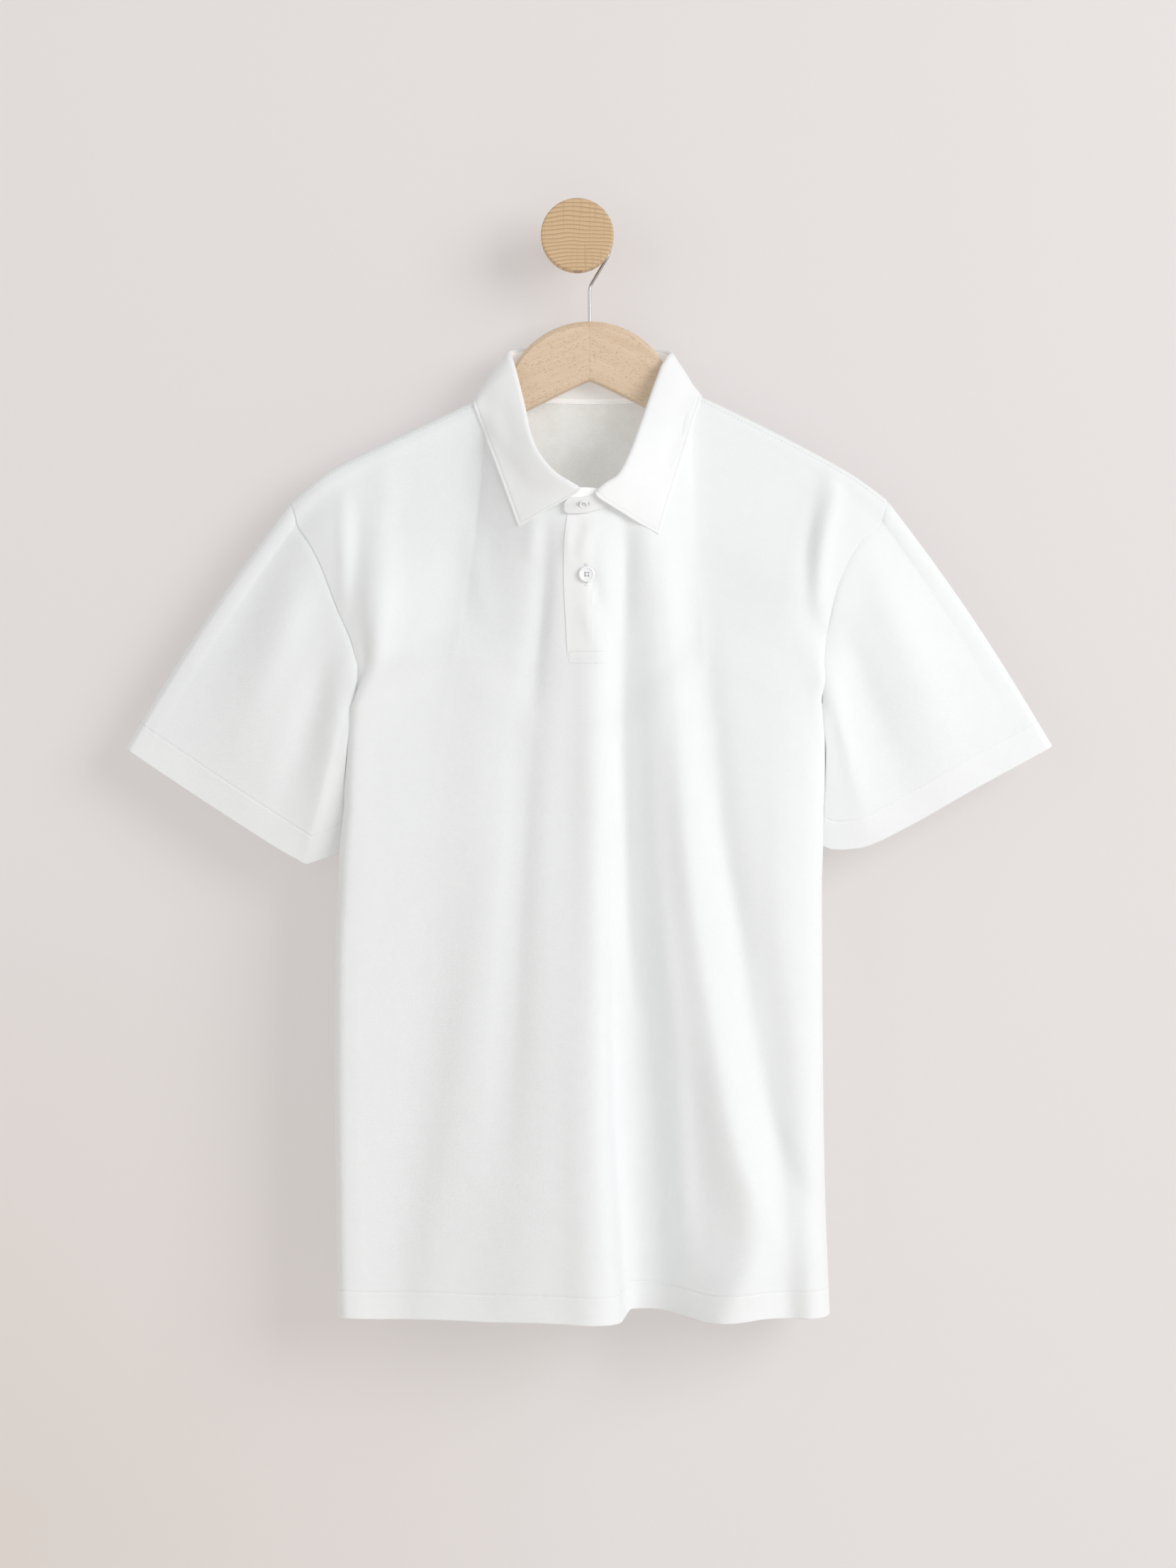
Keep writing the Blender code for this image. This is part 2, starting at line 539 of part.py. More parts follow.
# ---------------------------------------------------------------- walls and meshes
def grid_normals(grid, closed=False, sides=None, turned=0, bottom=None, top=None):
    """Unit normals of a grid; sides gives the way across at both side edges below row turned, bottom and top
    the way along at the first and the last row."""
    if closed:
        across = np.roll(grid, -1, axis=1) - np.roll(grid, 1, axis=1)
    else:
        across = np.gradient(grid, axis=1)
    if sides is not None:
        across[:turned, 0], across[:turned, -1] = sides
    along = np.gradient(grid, axis=0)
    if bottom is not None:
        along[0] = bottom
    if top is not None:
        along[-1] = top
    return unit(np.cross(across, along))


def best_split(grid, centres, i, j, k):
    """Whether the quad from column j to column k bends along its first diagonal."""
    first = 0.5 * (grid[i, j] + grid[i + 1, k])
    second = 0.5 * (grid[i, k] + grid[i + 1, j])
    return np.linalg.norm(first - centres[i, j]) <= np.linalg.norm(second - centres[i, j])


def wall_mesh(name, grid, thick, closed=False, centres=None, normals=None):
    """Cloth wall of even thickness round a middle surface; the outside faces along the normals."""
    n = grid_normals(grid, closed) if normals is None else normals
    rows, cols = grid.shape[:2]
    outer = grid + 0.5 * thick * n
    inner = grid - 0.5 * thick * n
    verts = np.vstack([outer.reshape(-1, 3), inner.reshape(-1, 3)])
    half = rows * cols
    faces = []
    wrap = cols if closed else cols - 1
    for i in range(rows - 1):
        for j in range(wrap):
            a, b = i * cols + j, i * cols + (j + 1) % cols
            c, d = b + cols, a + cols
            if centres is not None and not best_split(grid, centres, i, j, (j + 1) % cols):
                a, b, c, d = b, c, d, a
            faces += [(a, b, c), (a, c, d), (half + a, half + c, half + b), (half + a, half + d, half + c)]
    rim = [(j, (j + 1) % cols) for j in range(wrap)]
    rim += [((rows - 1) * cols + (j + 1) % cols, (rows - 1) * cols + j) for j in range(wrap)]
    if not closed:
        rim += [((i + 1) * cols, i * cols) for i in range(rows - 1)]
        rim += [(i * cols + cols - 1, (i + 1) * cols + cols - 1) for i in range(rows - 1)]
    for a, b in rim:
        faces += [(a, half + a, half + b), (a, half + b, b)]
    return add_mesh(name, verts, faces)


def add_mesh(name, verts, faces):
    """Mesh object from millimetre points, with its faces turned outwards."""
    mesh = bpy.data.meshes.new(name)
    mesh.from_pydata([tuple(v * MM) for v in np.asarray(verts, float)], [], faces)
    bm = bmesh.new()
    bm.from_mesh(mesh)
    bmesh.ops.recalc_face_normals(bm, faces=bm.faces)
    if bm.calc_volume(signed=True) < 0:
        bmesh.ops.reverse_faces(bm, faces=bm.faces)
    bm.to_mesh(mesh)
    bm.free()
    obj = bpy.data.objects.new(name, mesh)
    bpy.context.scene.collection.objects.link(obj)
    return obj


def material(name, color, rough, metal=0.0):
    """Principled material."""
    mat = bpy.data.materials.new(name)
    mat.use_nodes = True
    shader = mat.node_tree.nodes["Principled BSDF"]
    shader.inputs["Base Color"].default_value = (*color, 1.0)
    shader.inputs["Roughness"].default_value = rough
    shader.inputs["Metallic"].default_value = metal
    return mat


def surface_tree(grids):
    """Search tree over the middle surfaces of the panels."""
    verts, faces = [], []
    for grid in grids:
        base = len(verts)
        rows, cols = grid.shape[:2]
        verts += [Vector(p) for p in grid.reshape(-1, 3)]
        for i in range(rows - 1):
            for j in range(cols - 1):
                a = base + i * cols + j
                faces.append((a, a + 1, a + cols + 1, a + cols))
    return BVHTree.FromPolygons(verts, faces)


def front_depth(tree, x, z):
    """Depth of the first cloth met from the front at x, z."""
    hit = tree.ray_cast(Vector((x, -400.0, z)), Vector((0.0, 1.0, 0.0)))
    return hit[0].y if hit[0] is not None else -36.0


# ---------------------------------------------------------------- sleeves
def armhole_nodes(side, panel, count):
    """Nodes of one armhole on a panel from the underarm to the shoulder point, with normals and reach."""
    grid, normals = panel
    end, inner = (0, 1) if side == "left" else (-1, -2)
    nodes, beside = grid[-1 - count:, end], grid[-1 - count:, inner]
    return nodes, normals[-1 - count:, end], unit(nodes - beside)


def sleeve_grid(side, front, back):
    """Middle surface of a sleeve: rows from the armhole to the hem, columns round from the under seam."""
    ring = []
    for up_front, up_back in zip(armhole_nodes(side, front, ARMHOLE_F), armhole_nodes(side, back, ARMHOLE_B)):
        ring.append(np.vstack([0.5 * (up_front[0] + up_back[0])[None], up_front[1:-1],
                               0.5 * (up_front[-1] + up_back[-1])[None], up_back[::-1][1:-1]]))
    outward = -1.0 if side == "left" else 1.0
    head, head_n, reach = ring[0], unit(ring[1]), ring[2]
    reach[0] = (0.5 * outward, 0.0, 0.85)
    head_n[0] = (0.85 * outward, 0.0, -0.5)
    for near in (1, -1):
        reach[near] = 0.5 * (reach[near] + reach[0])
    reach = unit(reach)
    hem = SLEEVE_HEM[side]
    hem_front = spline([r[1:] for r in hem["front"]], 300)
    hem_back = spline([r[1:] for r in hem["back"]], 300)
    place_front = arc_positions(head[:ARMHOLE_F + 1])
    place_back = arc_positions(np.vstack([head[ARMHOLE_F:], head[:1]]))
    place_front = place_front / place_front[-1]
    place_back = place_back / place_back[-1]
    hem_front = cut_at(hem_front, place_front)
    hem_back = cut_at(hem_back, place_back)
    tail = np.vstack([hem_front, hem_back[1:-1]])
    place = np.concatenate([place_front, 1.0 + place_back[1:-1]])
    top = np.exp(-((place - 1.0) / 0.25)**2)
    under = np.exp(-(np.minimum(place, 2.0 - place) / 0.3)**2)
    head = head + reach * SEAM * (1.6 + 1.4 * under[:, None])
    turn = 0.5 - 0.5 * np.sum(unit(tail - head) * reach, axis=1, keepdims=True)
    near_top = 1.0 - np.exp(-((place - 1.0) / 0.12)**2)
    leave = (tail - head) * (1.0 - turn) + (reach * 45.0 + np.array([outward * 34.0, 0.0, 0.0])) * turn
    rows = []
    for t in np.linspace(0.0, 1.0, SLEEVE_ROWS)**1.15:
        row = hermite(head, leave, tail, tail - head, t)
        swell = math.sin(math.pi * t)
        row[:, 0] += outward * swell * (3.2 * top + 5.0 * under)
        row[:, 2] += 2.2 * swell * top
        on_front = np.clip(np.sin(math.pi * np.clip(place, 0.0, 1.0)), 0.0, 1.0)
        on_back = np.clip(np.sin(math.pi * np.clip(place - 1.0, 0.0, 1.0)), 0.0, 1.0)
        row[:, 1] += swell * (-5.0 * on_front + 2.0 * on_back)
        for at_head, at_hem, height, spread, peak, reach in SLEEVE_FOLDS[side].values():
            at = at_head + (at_hem - at_head) * t
            strength = math.exp(-((t - peak) / reach)**2) * min(1.0, 4.0 * t)
            row[:, 1] -= height * strength * near_top * np.exp(-((place - at) / spread)**2)
        rows.append(row)
    grid = np.array(rows)
    normals = grid_normals(grid, closed=True)
    if np.sum(normals[0] * head_n) < 0.0:
        normals = -normals
    normals[0] = head_n
    return grid, normals


# ---------------------------------------------------------------- collar and placket
def collar_line(side, shares, tree):
    """Fold line and outer edge of one half of the collar at shares of the fold, front end to centre back."""
    fold, edge = [], []
    for name, f, e in COLLAR[side]:
        depth = e[1]
        if depth is None:
            around = [front_depth(tree, e[0] + dx, e[2] + dz) for dx in (-3.0, 0.0, 3.0) for dz in (-3.0, 0.0, 3.0)]
            depth = min(around) - EDGE_LIFT
        fold.append(f)
        edge.append((e[0], depth, e[2]))
    both = spline(np.hstack([fold, edge]), 400)
    run = arc_positions(both)
    return np.stack([np.interp(shares * run[-1], run, both[:, c]) for c in range(6)], axis=1)


def collar_lines(front, back, tree):
    """Neck seam, fold line and outer edge of the whole collar, one node for each node of the seam."""
    seam = np.vstack(neck_seam(front, back))
    mid = len(seam) // 2
    run = arc_positions(seam)
    left = collar_line("left", run[:mid + 1] / run[mid], tree)
    share_r = (run[-1] - run[mid:]) / (run[-1] - run[mid])
    right = collar_line("right", share_r, tree)
    both = np.vstack([left, right[1:]])
    return seam, both[:, :3], both[:, 3:6]


def collar_fall(seam, fold, edge):
    """Middle surface of the fall: a roll over the top of the stand, then down to the outer edge."""
    from_end = np.minimum(np.arange(len(fold)), np.arange(len(fold))[::-1])[:, None]
    droop = 0.12 + 0.38 * np.clip(from_end / 4.0, 0.0, 1.0)
    up = unit(fold - seam)
    out = unit(np.cross(up, np.gradient(fold, axis=0)))
    start = fold + up * (SEAM + 0.1)
    start[-4:, 1] -= (0.3, 0.7, 1.1, 1.1)
    rows = []
    for angle in np.radians(FALL_ROLL):
        rows.append(start + out * ROLL_RADIUS * (1.0 - math.cos(angle)) + up * ROLL_RADIUS * math.sin(angle))
    turned = rows[-1]
    angle = math.radians(FALL_ROLL[-1])
    way = out * math.sin(angle) + up * math.cos(angle)
    down = edge - turned
    length = np.linalg.norm(down, axis=1, keepdims=True)
    for t in np.linspace(0.0, 1.0, FALL_ROWS + 1)[1:]:
        rows.append(hermite(turned, way * length * droop, edge, down, t))
    return np.array(rows)


def lifted(grid, tree, clear, first):
    """Grid moved out along its own normals until it clears the cloth under it, rows before first kept."""
    for _ in range(4):
        n = grid_normals(grid)
        for i in range(first, grid.shape[0]):
            for j in range(grid.shape[1]):
                near = tree.find_nearest(Vector(grid[i, j]))
                gap = clear - near[3]
                if gap > 0.0:
                    grid[i, j] = grid[i, j] + n[i, j] * gap
    return grid


def neck_seam(front, back):
    """Neckline nodes from centre front round the left, the back and the right to centre front."""
    mid_f, mid_b = front.shape[1] // 2, back.shape[1] // 2
    left_f = front[-1, mid_f - NECK_F:mid_f + 1][::-1]
    right_f = front[-1, mid_f:mid_f + NECK_F + 1][::-1]
    around = back[-1, mid_b - NECK_B:mid_b + NECK_B + 1]
    return left_f, around[1:-1], right_f


def collar_stand(seam, fold):
    """Middle surface of the stand: rows from the neck seam to just under the fold."""
    top = fold.copy()
    up = unit(top - seam)
    bottom = seam + up * (1.2 * SEAM + 0.25)
    for back_step, forward in enumerate((2.2, 1.7, 0.8, 0.2)):
        bottom[-1 - back_step, 1] -= forward
        top[-1 - back_step, 1] -= 0.6 * forward
    lap_low = np.array([(x, y, z) for x, y, z, _, _ in STAND_LAP])
    lap_top = np.array([(x, y, z) for x, _, _, y, z in STAND_LAP])
    bottom, top = np.vstack([bottom, lap_low]), np.vstack([top, lap_top])
    up = unit(top - bottom)
    reach = np.minimum(8.0, 0.5 * np.linalg.norm(top - bottom, axis=1))[:, None]
    return np.array([hermite(bottom, up * reach, top, up * reach, t) for t in np.linspace(0.0, 1.0, 4)])


def placket_grid(tree):
    """Middle surface of the outer placket, laid on the front."""
    rows = []
    for z in np.linspace(PLACKET[0][0], PLACKET[-1][0], PLACKET_ROWS + 1):
        left, right = smooth_table(PLACKET, z)
        row = []
        for x in np.linspace(left, right, PLACKET_COLUMNS + 1):
            forward = min(front_depth(tree, x + dx, z + dz) for dx in (-3.0, 0.0, 3.0) for dz in (-4.0, 0.0, 4.0))
            row.append((x, forward - 0.5 * JERSEY - 0.5 * BAND - SEAM, z))
        rows.append(row)
    return np.array(rows[::-1])


# ---------------------------------------------------------------- hard parts
def lathe(name, profile, steps, place=None):
    """Solid turned about the Y axis from (radius, y) rows that start and end on the axis."""
    verts, faces, rings = [], [], []
    for r, y in profile:
        if r < 1e-6:
            rings.append([len(verts)])
            verts.append((0.0, y, 0.0))
            continue
        rings.append(list(range(len(verts), len(verts) + steps)))
        for k in range(steps):
            a = 2 * math.pi * k / steps
            verts.append((r * math.cos(a), y, r * math.sin(a)))
    for low, high in zip(rings[:-1], rings[1:]):
        for k in range(steps):
            n = (k + 1) % steps
            if len(low) == 1:
                faces.append((low[0], high[k], high[n]))
            elif len(high) == 1:
                faces.append((low[k], high[0], low[n]))
            else:
                faces += [(low[k], high[k], high[n]), (low[k], high[n], low[n])]
    pts = np.array(verts, float)
    if place is not None:
        pts = place(pts)
    return add_mesh(name, pts, faces)


def wire_path():
    """Centre line of the hook: tip behind the peg, over the stem, down to the hanger."""
    centre = np.array([5.3, HOOK_Y, -4.5])
    radius = STEM_RADIUS + 6.95 + WIRE_RADIUS + 0.2
    pts = []
    for a in np.radians(np.linspace(200.0, -33.6, 25)):
        pts.append(centre + radius * np.array([math.cos(a), 0.0, math.sin(a)]))
    bend = np.array([9.4, HOOK_Y, -36.6])
    foot = np.array([9.6, HOOK_Y, -63.6])
    into, away = unit(pts[-1] - bend), unit(foot - bend)
    for t in np.linspace(0.0, 1.0, 7):
        p0, p2 = bend + into * 4.0, bend + away * 4.0
        pts.append((1 - t)**2 * p0 + 2 * t * (1 - t) * bend + t**2 * p2)
    pts.append(foot)
    return np.array(pts)


def sweep(name, path, radius, sides):
    """Round wire along a flat path, closed at both ends."""
    verts, faces = [], []
    tangents = unit(np.gradient(path, axis=0))
    tangents[0] = unit(path[1] - path[0])
    tangents[-1] = np.array([0.0, 0.0, -1.0])
    for p, t in zip(path, tangents):
        side = np.array([0.0, 1.0, 0.0])
        other = np.cross(t, side)
        for k in range(sides):
            a = 2 * math.pi * k / sides
            verts.append(p + radius * (math.cos(a) * side + math.sin(a) * other))
    for i in range(len(path) - 1):
        for k in range(sides):
            a, b = i * sides + k, i * sides + (k + 1) % sides
            faces += [(a, b, b + sides), (a, b + sides, a + sides)]
    for ring, point in ((0, path[0]), (len(path) - 1, path[-1])):
        verts.append(point)
        for k in range(sides):
            faces.append((ring * sides + k, len(verts) - 1, ring * sides + (k + 1) % sides))
    return add_mesh(name, np.array(verts), faces)


def hanger_section(top, bottom, half):
    """Outline of the hanger across its arm: broad rounded shoulder on top, small chamfers below."""
    big = min(4.5, 0.35 * (top - bottom))
    small = min(2.0, 0.2 * (top - bottom))
    pts = []
    for a in np.radians([0.0, 30.0, 60.0, 90.0]):
        pts.append((half - big + big * math.sin(a), top - big + big * math.cos(a)))
    pts += [(half, bottom + small), (half - small, bottom)]
    mirrored = [(-u, w) for u, w in reversed(pts)]
    return pts + mirrored


def hanger_mesh():
    """Contoured wooden hanger, one solid from end to end."""
    stations = [(-x, t, b) for x, t, b in reversed(HANGER_LEFT[1:])]
    stations += [tuple(r) for r in HANGER_LEFT]
    rings = []
    for x, top, bottom in stations:
        half = HANGER_HALF * (0.72 if abs(x) > 197.0 else 1.0)
        rings.append([(HANGER_CENTRE_X + x, HOOK_Y + u, w) for u, w in hanger_section(top, bottom, half)])
    verts = [p for ring in rings for p in ring]
    size = len(rings[0])
    faces = []
    for i in range(len(rings) - 1):
        for k in range(size):
            a, b = i * size + k, i * size + (k + 1) % size
            faces += [(a, b, b + size), (a, b + size, a + size)]
    faces.append(tuple(range(size)))
    faces.append(tuple(range(len(verts) - size, len(verts))))
    return add_mesh("hanger", np.array(verts), faces)


def button_mesh(name, tree):
    """Dished button with a rounded rim laid on the cloth of the given tree."""
    x, z, radius, lift, tilt_x, tilt_z = BUTTONS[name]
    profile = [(0.0, -1.0), (0.57, -1.0), (0.7, -1.6), (0.86, -1.9), (0.96, -1.5), (1.0, -0.8),
               (0.93, -0.2), (0.79, 0.0), (0.0, 0.0)]
    y = front_depth(tree, x, z) - 0.5 * BAND - lift
    ax, az = math.radians(tilt_x), math.radians(tilt_z)

    def place(pts):
        yy = pts[:, 1] * math.cos(ax) - pts[:, 2] * math.sin(ax)
        zz = pts[:, 1] * math.sin(ax) + pts[:, 2] * math.cos(ax)
        xx = pts[:, 0] * math.cos(az) - yy * math.sin(az)
        yy = pts[:, 0] * math.sin(az) + yy * math.cos(az)
        return np.stack([xx + x, yy + y, zz + z], axis=1)

    return lathe(name, [(r * radius, depth) for r, depth in profile], 18, place)


# ---------------------------------------------------------------- build
def main():
    for old in list(bpy.data.objects):
        bpy.data.objects.remove(old, do_unlink=True)

    jersey = material("jersey_white", (0.86, 0.87, 0.865), 0.9)
    trim = material("trim_white", (0.87, 0.875, 0.87), 0.85)
    pearl = material("button_pearl", (0.80, 0.83, 0.84), 0.25)
    beech = material("hanger_beech", (0.74, 0.57, 0.39), 0.5)
    birch = material("peg_wood", (0.76, 0.62, 0.42), 0.5)
    steel = material("hook_chrome", (0.75, 0.75, 0.76), 0.15, 1.0)

    front_fine, back_fine = panel_grid(True, 2)[0], panel_grid(False, 2)[0][:, ::-1]
    (front, front_n), (back, back_n) = panel_grid(True), panel_grid(False)
    tree = surface_tree([front, back])

    parts = []
    parts.append((wall_mesh("front_panel", front, JERSEY, centres=front_fine[1::2, 1::2], normals=front_n), jersey))
    parts.append((wall_mesh("back_panel", back[:, ::-1], JERSEY, centres=back_fine[1::2, 1::2],
                            normals=back_n[:, ::-1]), jersey))
    for side in ("left", "right"):
        grid, normals = sleeve_grid(side, (front, front_n), (back, back_n))
        parts.append((wall_mesh("sleeve_" + side, grid, JERSEY, closed=True, normals=normals), jersey))

    seam, fold, edge = collar_lines(front, back, tree)
    stand = collar_stand(seam, fold)
    parts.append((wall_mesh("collar_stand", stand, BAND), trim))
    foot, rim = stand[0, :len(seam)], stand[-1, :len(seam)]
    fall = lifted(collar_fall(foot, rim, edge), tree, 0.5 * (JERSEY + BAND) + SEAM + 0.8, len(FALL_ROLL))
    fall_n = grid_normals(fall, bottom=unit(rim - foot))
    parts.append((wall_mesh("collar_fall", fall, BAND, normals=fall_n), trim))
    placket = placket_grid(tree)
    parts.append((wall_mesh("placket", placket, BAND), trim))
    parts.append((button_mesh("button_stand", surface_tree([stand])), pearl))
    parts.append((button_mesh("button_placket", surface_tree([placket])), pearl))
    parts.append((hanger_mesh(), beech))
    parts.append((sweep("hook", wire_path(), WIRE_RADIUS, 8), steel))
    peg = [(0.0, 0.0), (STEM_RADIUS, 0.0), (STEM_RADIUS, PEG_FACE_Y + PEG_RIM),
           (PEG_RADIUS - 1.0, PEG_FACE_Y + PEG_RIM), (PEG_RADIUS, PEG_FACE_Y + PEG_RIM - 1.0),
           (PEG_RADIUS, PEG_FACE_Y + 1.4), (PEG_RADIUS - 0.4, PEG_FACE_Y + 0.4),
           (PEG_RADIUS - 1.4, PEG_FACE_Y), (0.0, PEG_FACE_Y)]
    parts.append((lathe("wall_peg", peg, 40), birch))

    for obj, mat in parts:
        obj.data.materials.append(mat)


main()
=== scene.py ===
"""Looks of a white polo shirt on a beech hanger, hung by its wire hook from a round wall peg.

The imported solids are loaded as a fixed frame. Every piece here is a finer mesh of the same forms, worked out
from tables in millimetres: closed cloth walls with hems, seams, stitches and creases, turned wood, wire and
buttons. Origin at the centre of the peg's back face, +X to the right from the front, +Y into the wall, +Z up.
"""
import math

import bmesh
import bpy
import numpy as np
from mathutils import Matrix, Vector
from mathutils.bvhtree import BVHTree


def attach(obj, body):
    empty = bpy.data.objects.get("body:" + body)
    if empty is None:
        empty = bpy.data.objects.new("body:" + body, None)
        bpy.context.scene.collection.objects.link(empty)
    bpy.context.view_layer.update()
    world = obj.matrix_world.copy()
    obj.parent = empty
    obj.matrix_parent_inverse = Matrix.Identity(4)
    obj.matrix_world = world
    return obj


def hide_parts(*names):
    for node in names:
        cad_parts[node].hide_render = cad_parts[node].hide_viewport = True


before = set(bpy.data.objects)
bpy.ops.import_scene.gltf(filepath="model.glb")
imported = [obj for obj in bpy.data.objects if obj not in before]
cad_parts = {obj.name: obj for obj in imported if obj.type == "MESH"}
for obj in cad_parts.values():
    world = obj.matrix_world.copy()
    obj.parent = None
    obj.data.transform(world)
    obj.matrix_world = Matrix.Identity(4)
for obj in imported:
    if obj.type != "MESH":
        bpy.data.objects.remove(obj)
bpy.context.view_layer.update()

MM = 0.001

# ---------------------------------------------------------------- driving sizes
JERSEY = 1.2            # wall of front, back and sleeves
BAND = 1.4              # wall of the collar stand
TRIM_HALF = 0.48        # half the wall of the outer placket and of the collar fall
TAPE_HALF = 0.4         # half the wall of the neck tape
HEM_FOLD = 0.9          # how much thicker the turned-up hems are
SEAM = 0.3              # gap left between sewn pieces
CENTRE_X = 7.5          # centre line of the neck
HEM_Z = -834            # level of the hem
CHEST_Z = -480          # level where the plain tube ends and the yoke area starts
KNEE_STRETCH = 1.2      # fullness of the last turn of cloth below a seam
NO_CLOTH_Y = -36        # depth taken where no cloth is met

SHOULDER = 11                     # columns that end on each shoulder seam
NECK_F, NECK_B = 12, 8            # columns that end on each half of the neckline
ROWS_F, ROWS_B = (10, 5, 8, 4), (6, 4, 6, 4)      # rows of tube, side seam, armhole and last turn
ARMHOLE_F, ARMHOLE_B = sum(ROWS_F[2:]), sum(ROWS_B[2:])
SIDE_REACH = 14                   # columns over which the cloth follows its side seam and armhole

PEG_RADIUS, PEG_FACE_Y, PEG_RIM = 28.2, -58, 15
STEM_RADIUS, WIRE_RADIUS = 13, 1.25
HOOK_Y, HOOK_RADIUS = -28, 20.4
HOOK_PLACES = ((5.1, -4.5), (9.4, -36.6), (9.6, -66))      # x, z of the arc's middle, the bend and the foot
HANGER_HALF, HANGER_END = 7, 6      # half the hanger's thickness, and the length of its rounded ends

# Level sections of the tube below the sleeves: level, outermost X on both sides, middle depth, depth to front
# and to back of it, squareness of both side turns, and how far both sides lean in towards the back.
TUBE = [
    (-834, -188.5, 194.5, -53, 44, 41, 46, 16, 18, 2),
    (-740, -189.5, 192, -53, 42.5, 41, 46, 16, 20, 6),
    (-640, -189, 191, -52, 40.5, 40, 44, 16, 22, 12),
    (-560, -188, 191.5, -51, 38.5, 38.5, 42, 15, 24, 18),
    (-480, -186.5, 192.5, -50, 36.5, 37, 34, 13, 30, 26),
]

# Hanging folds of the front: level, x of the ridge, height towards the viewer, spread to its left and right.
FRONT_FOLDS = {
    "outer_left": [(-240, -83, 0.6, 20, 20), (-460, -73, 1.6, 24, 22), (-633, -87, 2.8, 26, 24),
                   (-780, -109, 3.2, 26, 30), (-834, -115, 2.8, 26, 30)],
    "inner_left": [(-235, -39, 0.3, 9, 9), (-312, -36, 0.4, 12, 11), (-438, -27, 0.6, 15, 14),
                   (-698, -27, 0.7, 17, 18), (-773, -40, 0.8, 18, 20), (-834, -44, 0.6, 18, 20)],
    "centre": [(-235, 13, 0.5, 14, 12), (-360, 13, 3, 14, 14), (-600, 14, 6, 18, 18), (-834, 17, 6, 20, 20)],
    "diagonal": [(-232, 56, 2.5, 8, 12), (-451, 77, 6, 14, 18), (-560, 89, 7.6, 16, 20),
                 (-698, 116, 10.2, 20, 20), (-780, 138, 11.9, 24, 24), (-834, 112, 11.9, 22, 30)],
    "minor_right": [(-500, 58, 0.5, 8, 10), (-640, 70, 4, 9, 12), (-760, 80, 4, 9, 12),
                    (-834, 84, 2, 9, 12)],
    "right_hollow": [(-300, 90, -1, 12, 14), (-449, 109, -3, 12, 18), (-615, 142, -6, 14, 16),
                     (-740, 154, -11, 16, 16), (-834, 161, -15, 24, 15)],
    "armhole_left": [(-205, -150, 2, 10, 10), (-270, -156, 4, 9, 12), (-345, -163, 3, 9, 14),
                     (-430, -165, 0, 9, 14)],
    "armhole_right": [(-195, 198, 4, 8, 9), (-250, 190, 7, 9, 10), (-320, 184, 5, 10, 12),
                      (-430, 180, 0, 12, 12)],
}

# Deep valley right of the centre line: level, depth, x and width of its steep wall on the left and of its
# slow climb on the right, and how far the wall is pinched.
VALLEY = [
    (-225, 3.5, 25, 9, 40, 12, 0),
    (-330, 8.5, 23.5, 8, 48, 22, 0.1),
    (-450, 10.5, 23, 8.5, 58, 30, 0.3),
    (-560, 15.5, 24, 11, 66, 34, 0.45),
    (-698, 25.5, 27, 13, 80, 42, 0.6),
    (-834, 38, 35, 14, 86, 34, 0.7),
]

# Hanging folds of the back, plain and alike.
BACK_FOLDS = {
    "back_left": [(-300, -96, 0, 20, 20), (-520, -104, -6, 20, 24), (-834, -116, -7, 22, 24)],
    "back_centre_left": [(-260, -22, 0, 18, 18), (-520, -28, -7, 20, 20), (-834, -40, -9, 20, 22)],
    "back_centre_right": [(-260, 44, 0, 18, 18), (-520, 48, -6, 20, 20), (-834, 44, -8, 20, 22)],
    "back_right": [(-300, 112, 0, 20, 20), (-520, 116, -5, 22, 20), (-834, 128, -7, 24, 22)],
}

# Left and right armhole edge of the front and of the back from the underarm up to where the last turn starts.
FRONT_ARMHOLE = [((-157, -48, -372), (170, -48, -370)), ((-157.6, -53, -366.5), (171.5, -53, -364)),
                 ((-161, -58, -349), (179.5, -57.5, -334)), ((-167.8, -62, -328.5), (190, -58.5, -303)),
                 ((-172.9, -64, -314.6), (195, -60, -289.8)), ((-183.4, -63, -291.9), (203.5, -58, -263.8)),
                 ((-201.5, -54, -247.8), (219.3, -50, -235.2))]
BACK_ARMHOLE = [((-157, -48, -372), (170, -48, -370)), ((-157.4, -42.5, -366.5), (170.5, -42.5, -364.5)),
                ((-159.5, -35, -349), (173.5, -35, -346)), ((-170, -25, -310), (187, -25, -305)),
                ((-195, -20, -258), (213, -20, -253))]

# Left and right top edge of the panels: shoulder point, hanger end, middle of the shoulder, its neck end and
# the neck point, then the neckline to centre front or centre back.
# Each place has a turn: where the knee lies, counted from the edge, and the way the cloth runs as it reaches
# the edge. The knee is where the cloth starts its last turn. Turns are mirrored for the right side.
SHOULDER_EDGE = [((-222.5, -35.5, -206), (240.7, -35.5, -204)),
                 ((-197, -37.5, -184.9), (216.4, -37.5, -186.5)),
                 ((-150.6, -37.5, -161.3), (166, -38.5, -159)), ((-90, -37.5, -132.6), (103, -39.5, -128)),
                 ((-67, -39, -121.5), (85, -40, -121))]
FRONT_NECK = [((-58, -52, -146), (75, -52, -146)), ((-43, -67, -181), (58, -67, -181)),
              ((-18, -79.5, -208), (33, -79.5, -208)), ((7.5, -83, -217), (7.5, -83, -217))]
BACK_NECK = [((-68, -28, -118), (86, -28, -118.5)), ((-60, -17.5, -118), (79, -17.5, -118.5)),
             ((-36, -14, -120.5), (51, -14, -120.5)), ((7.5, -13.5, -122), (7.5, -13.5, -122))]
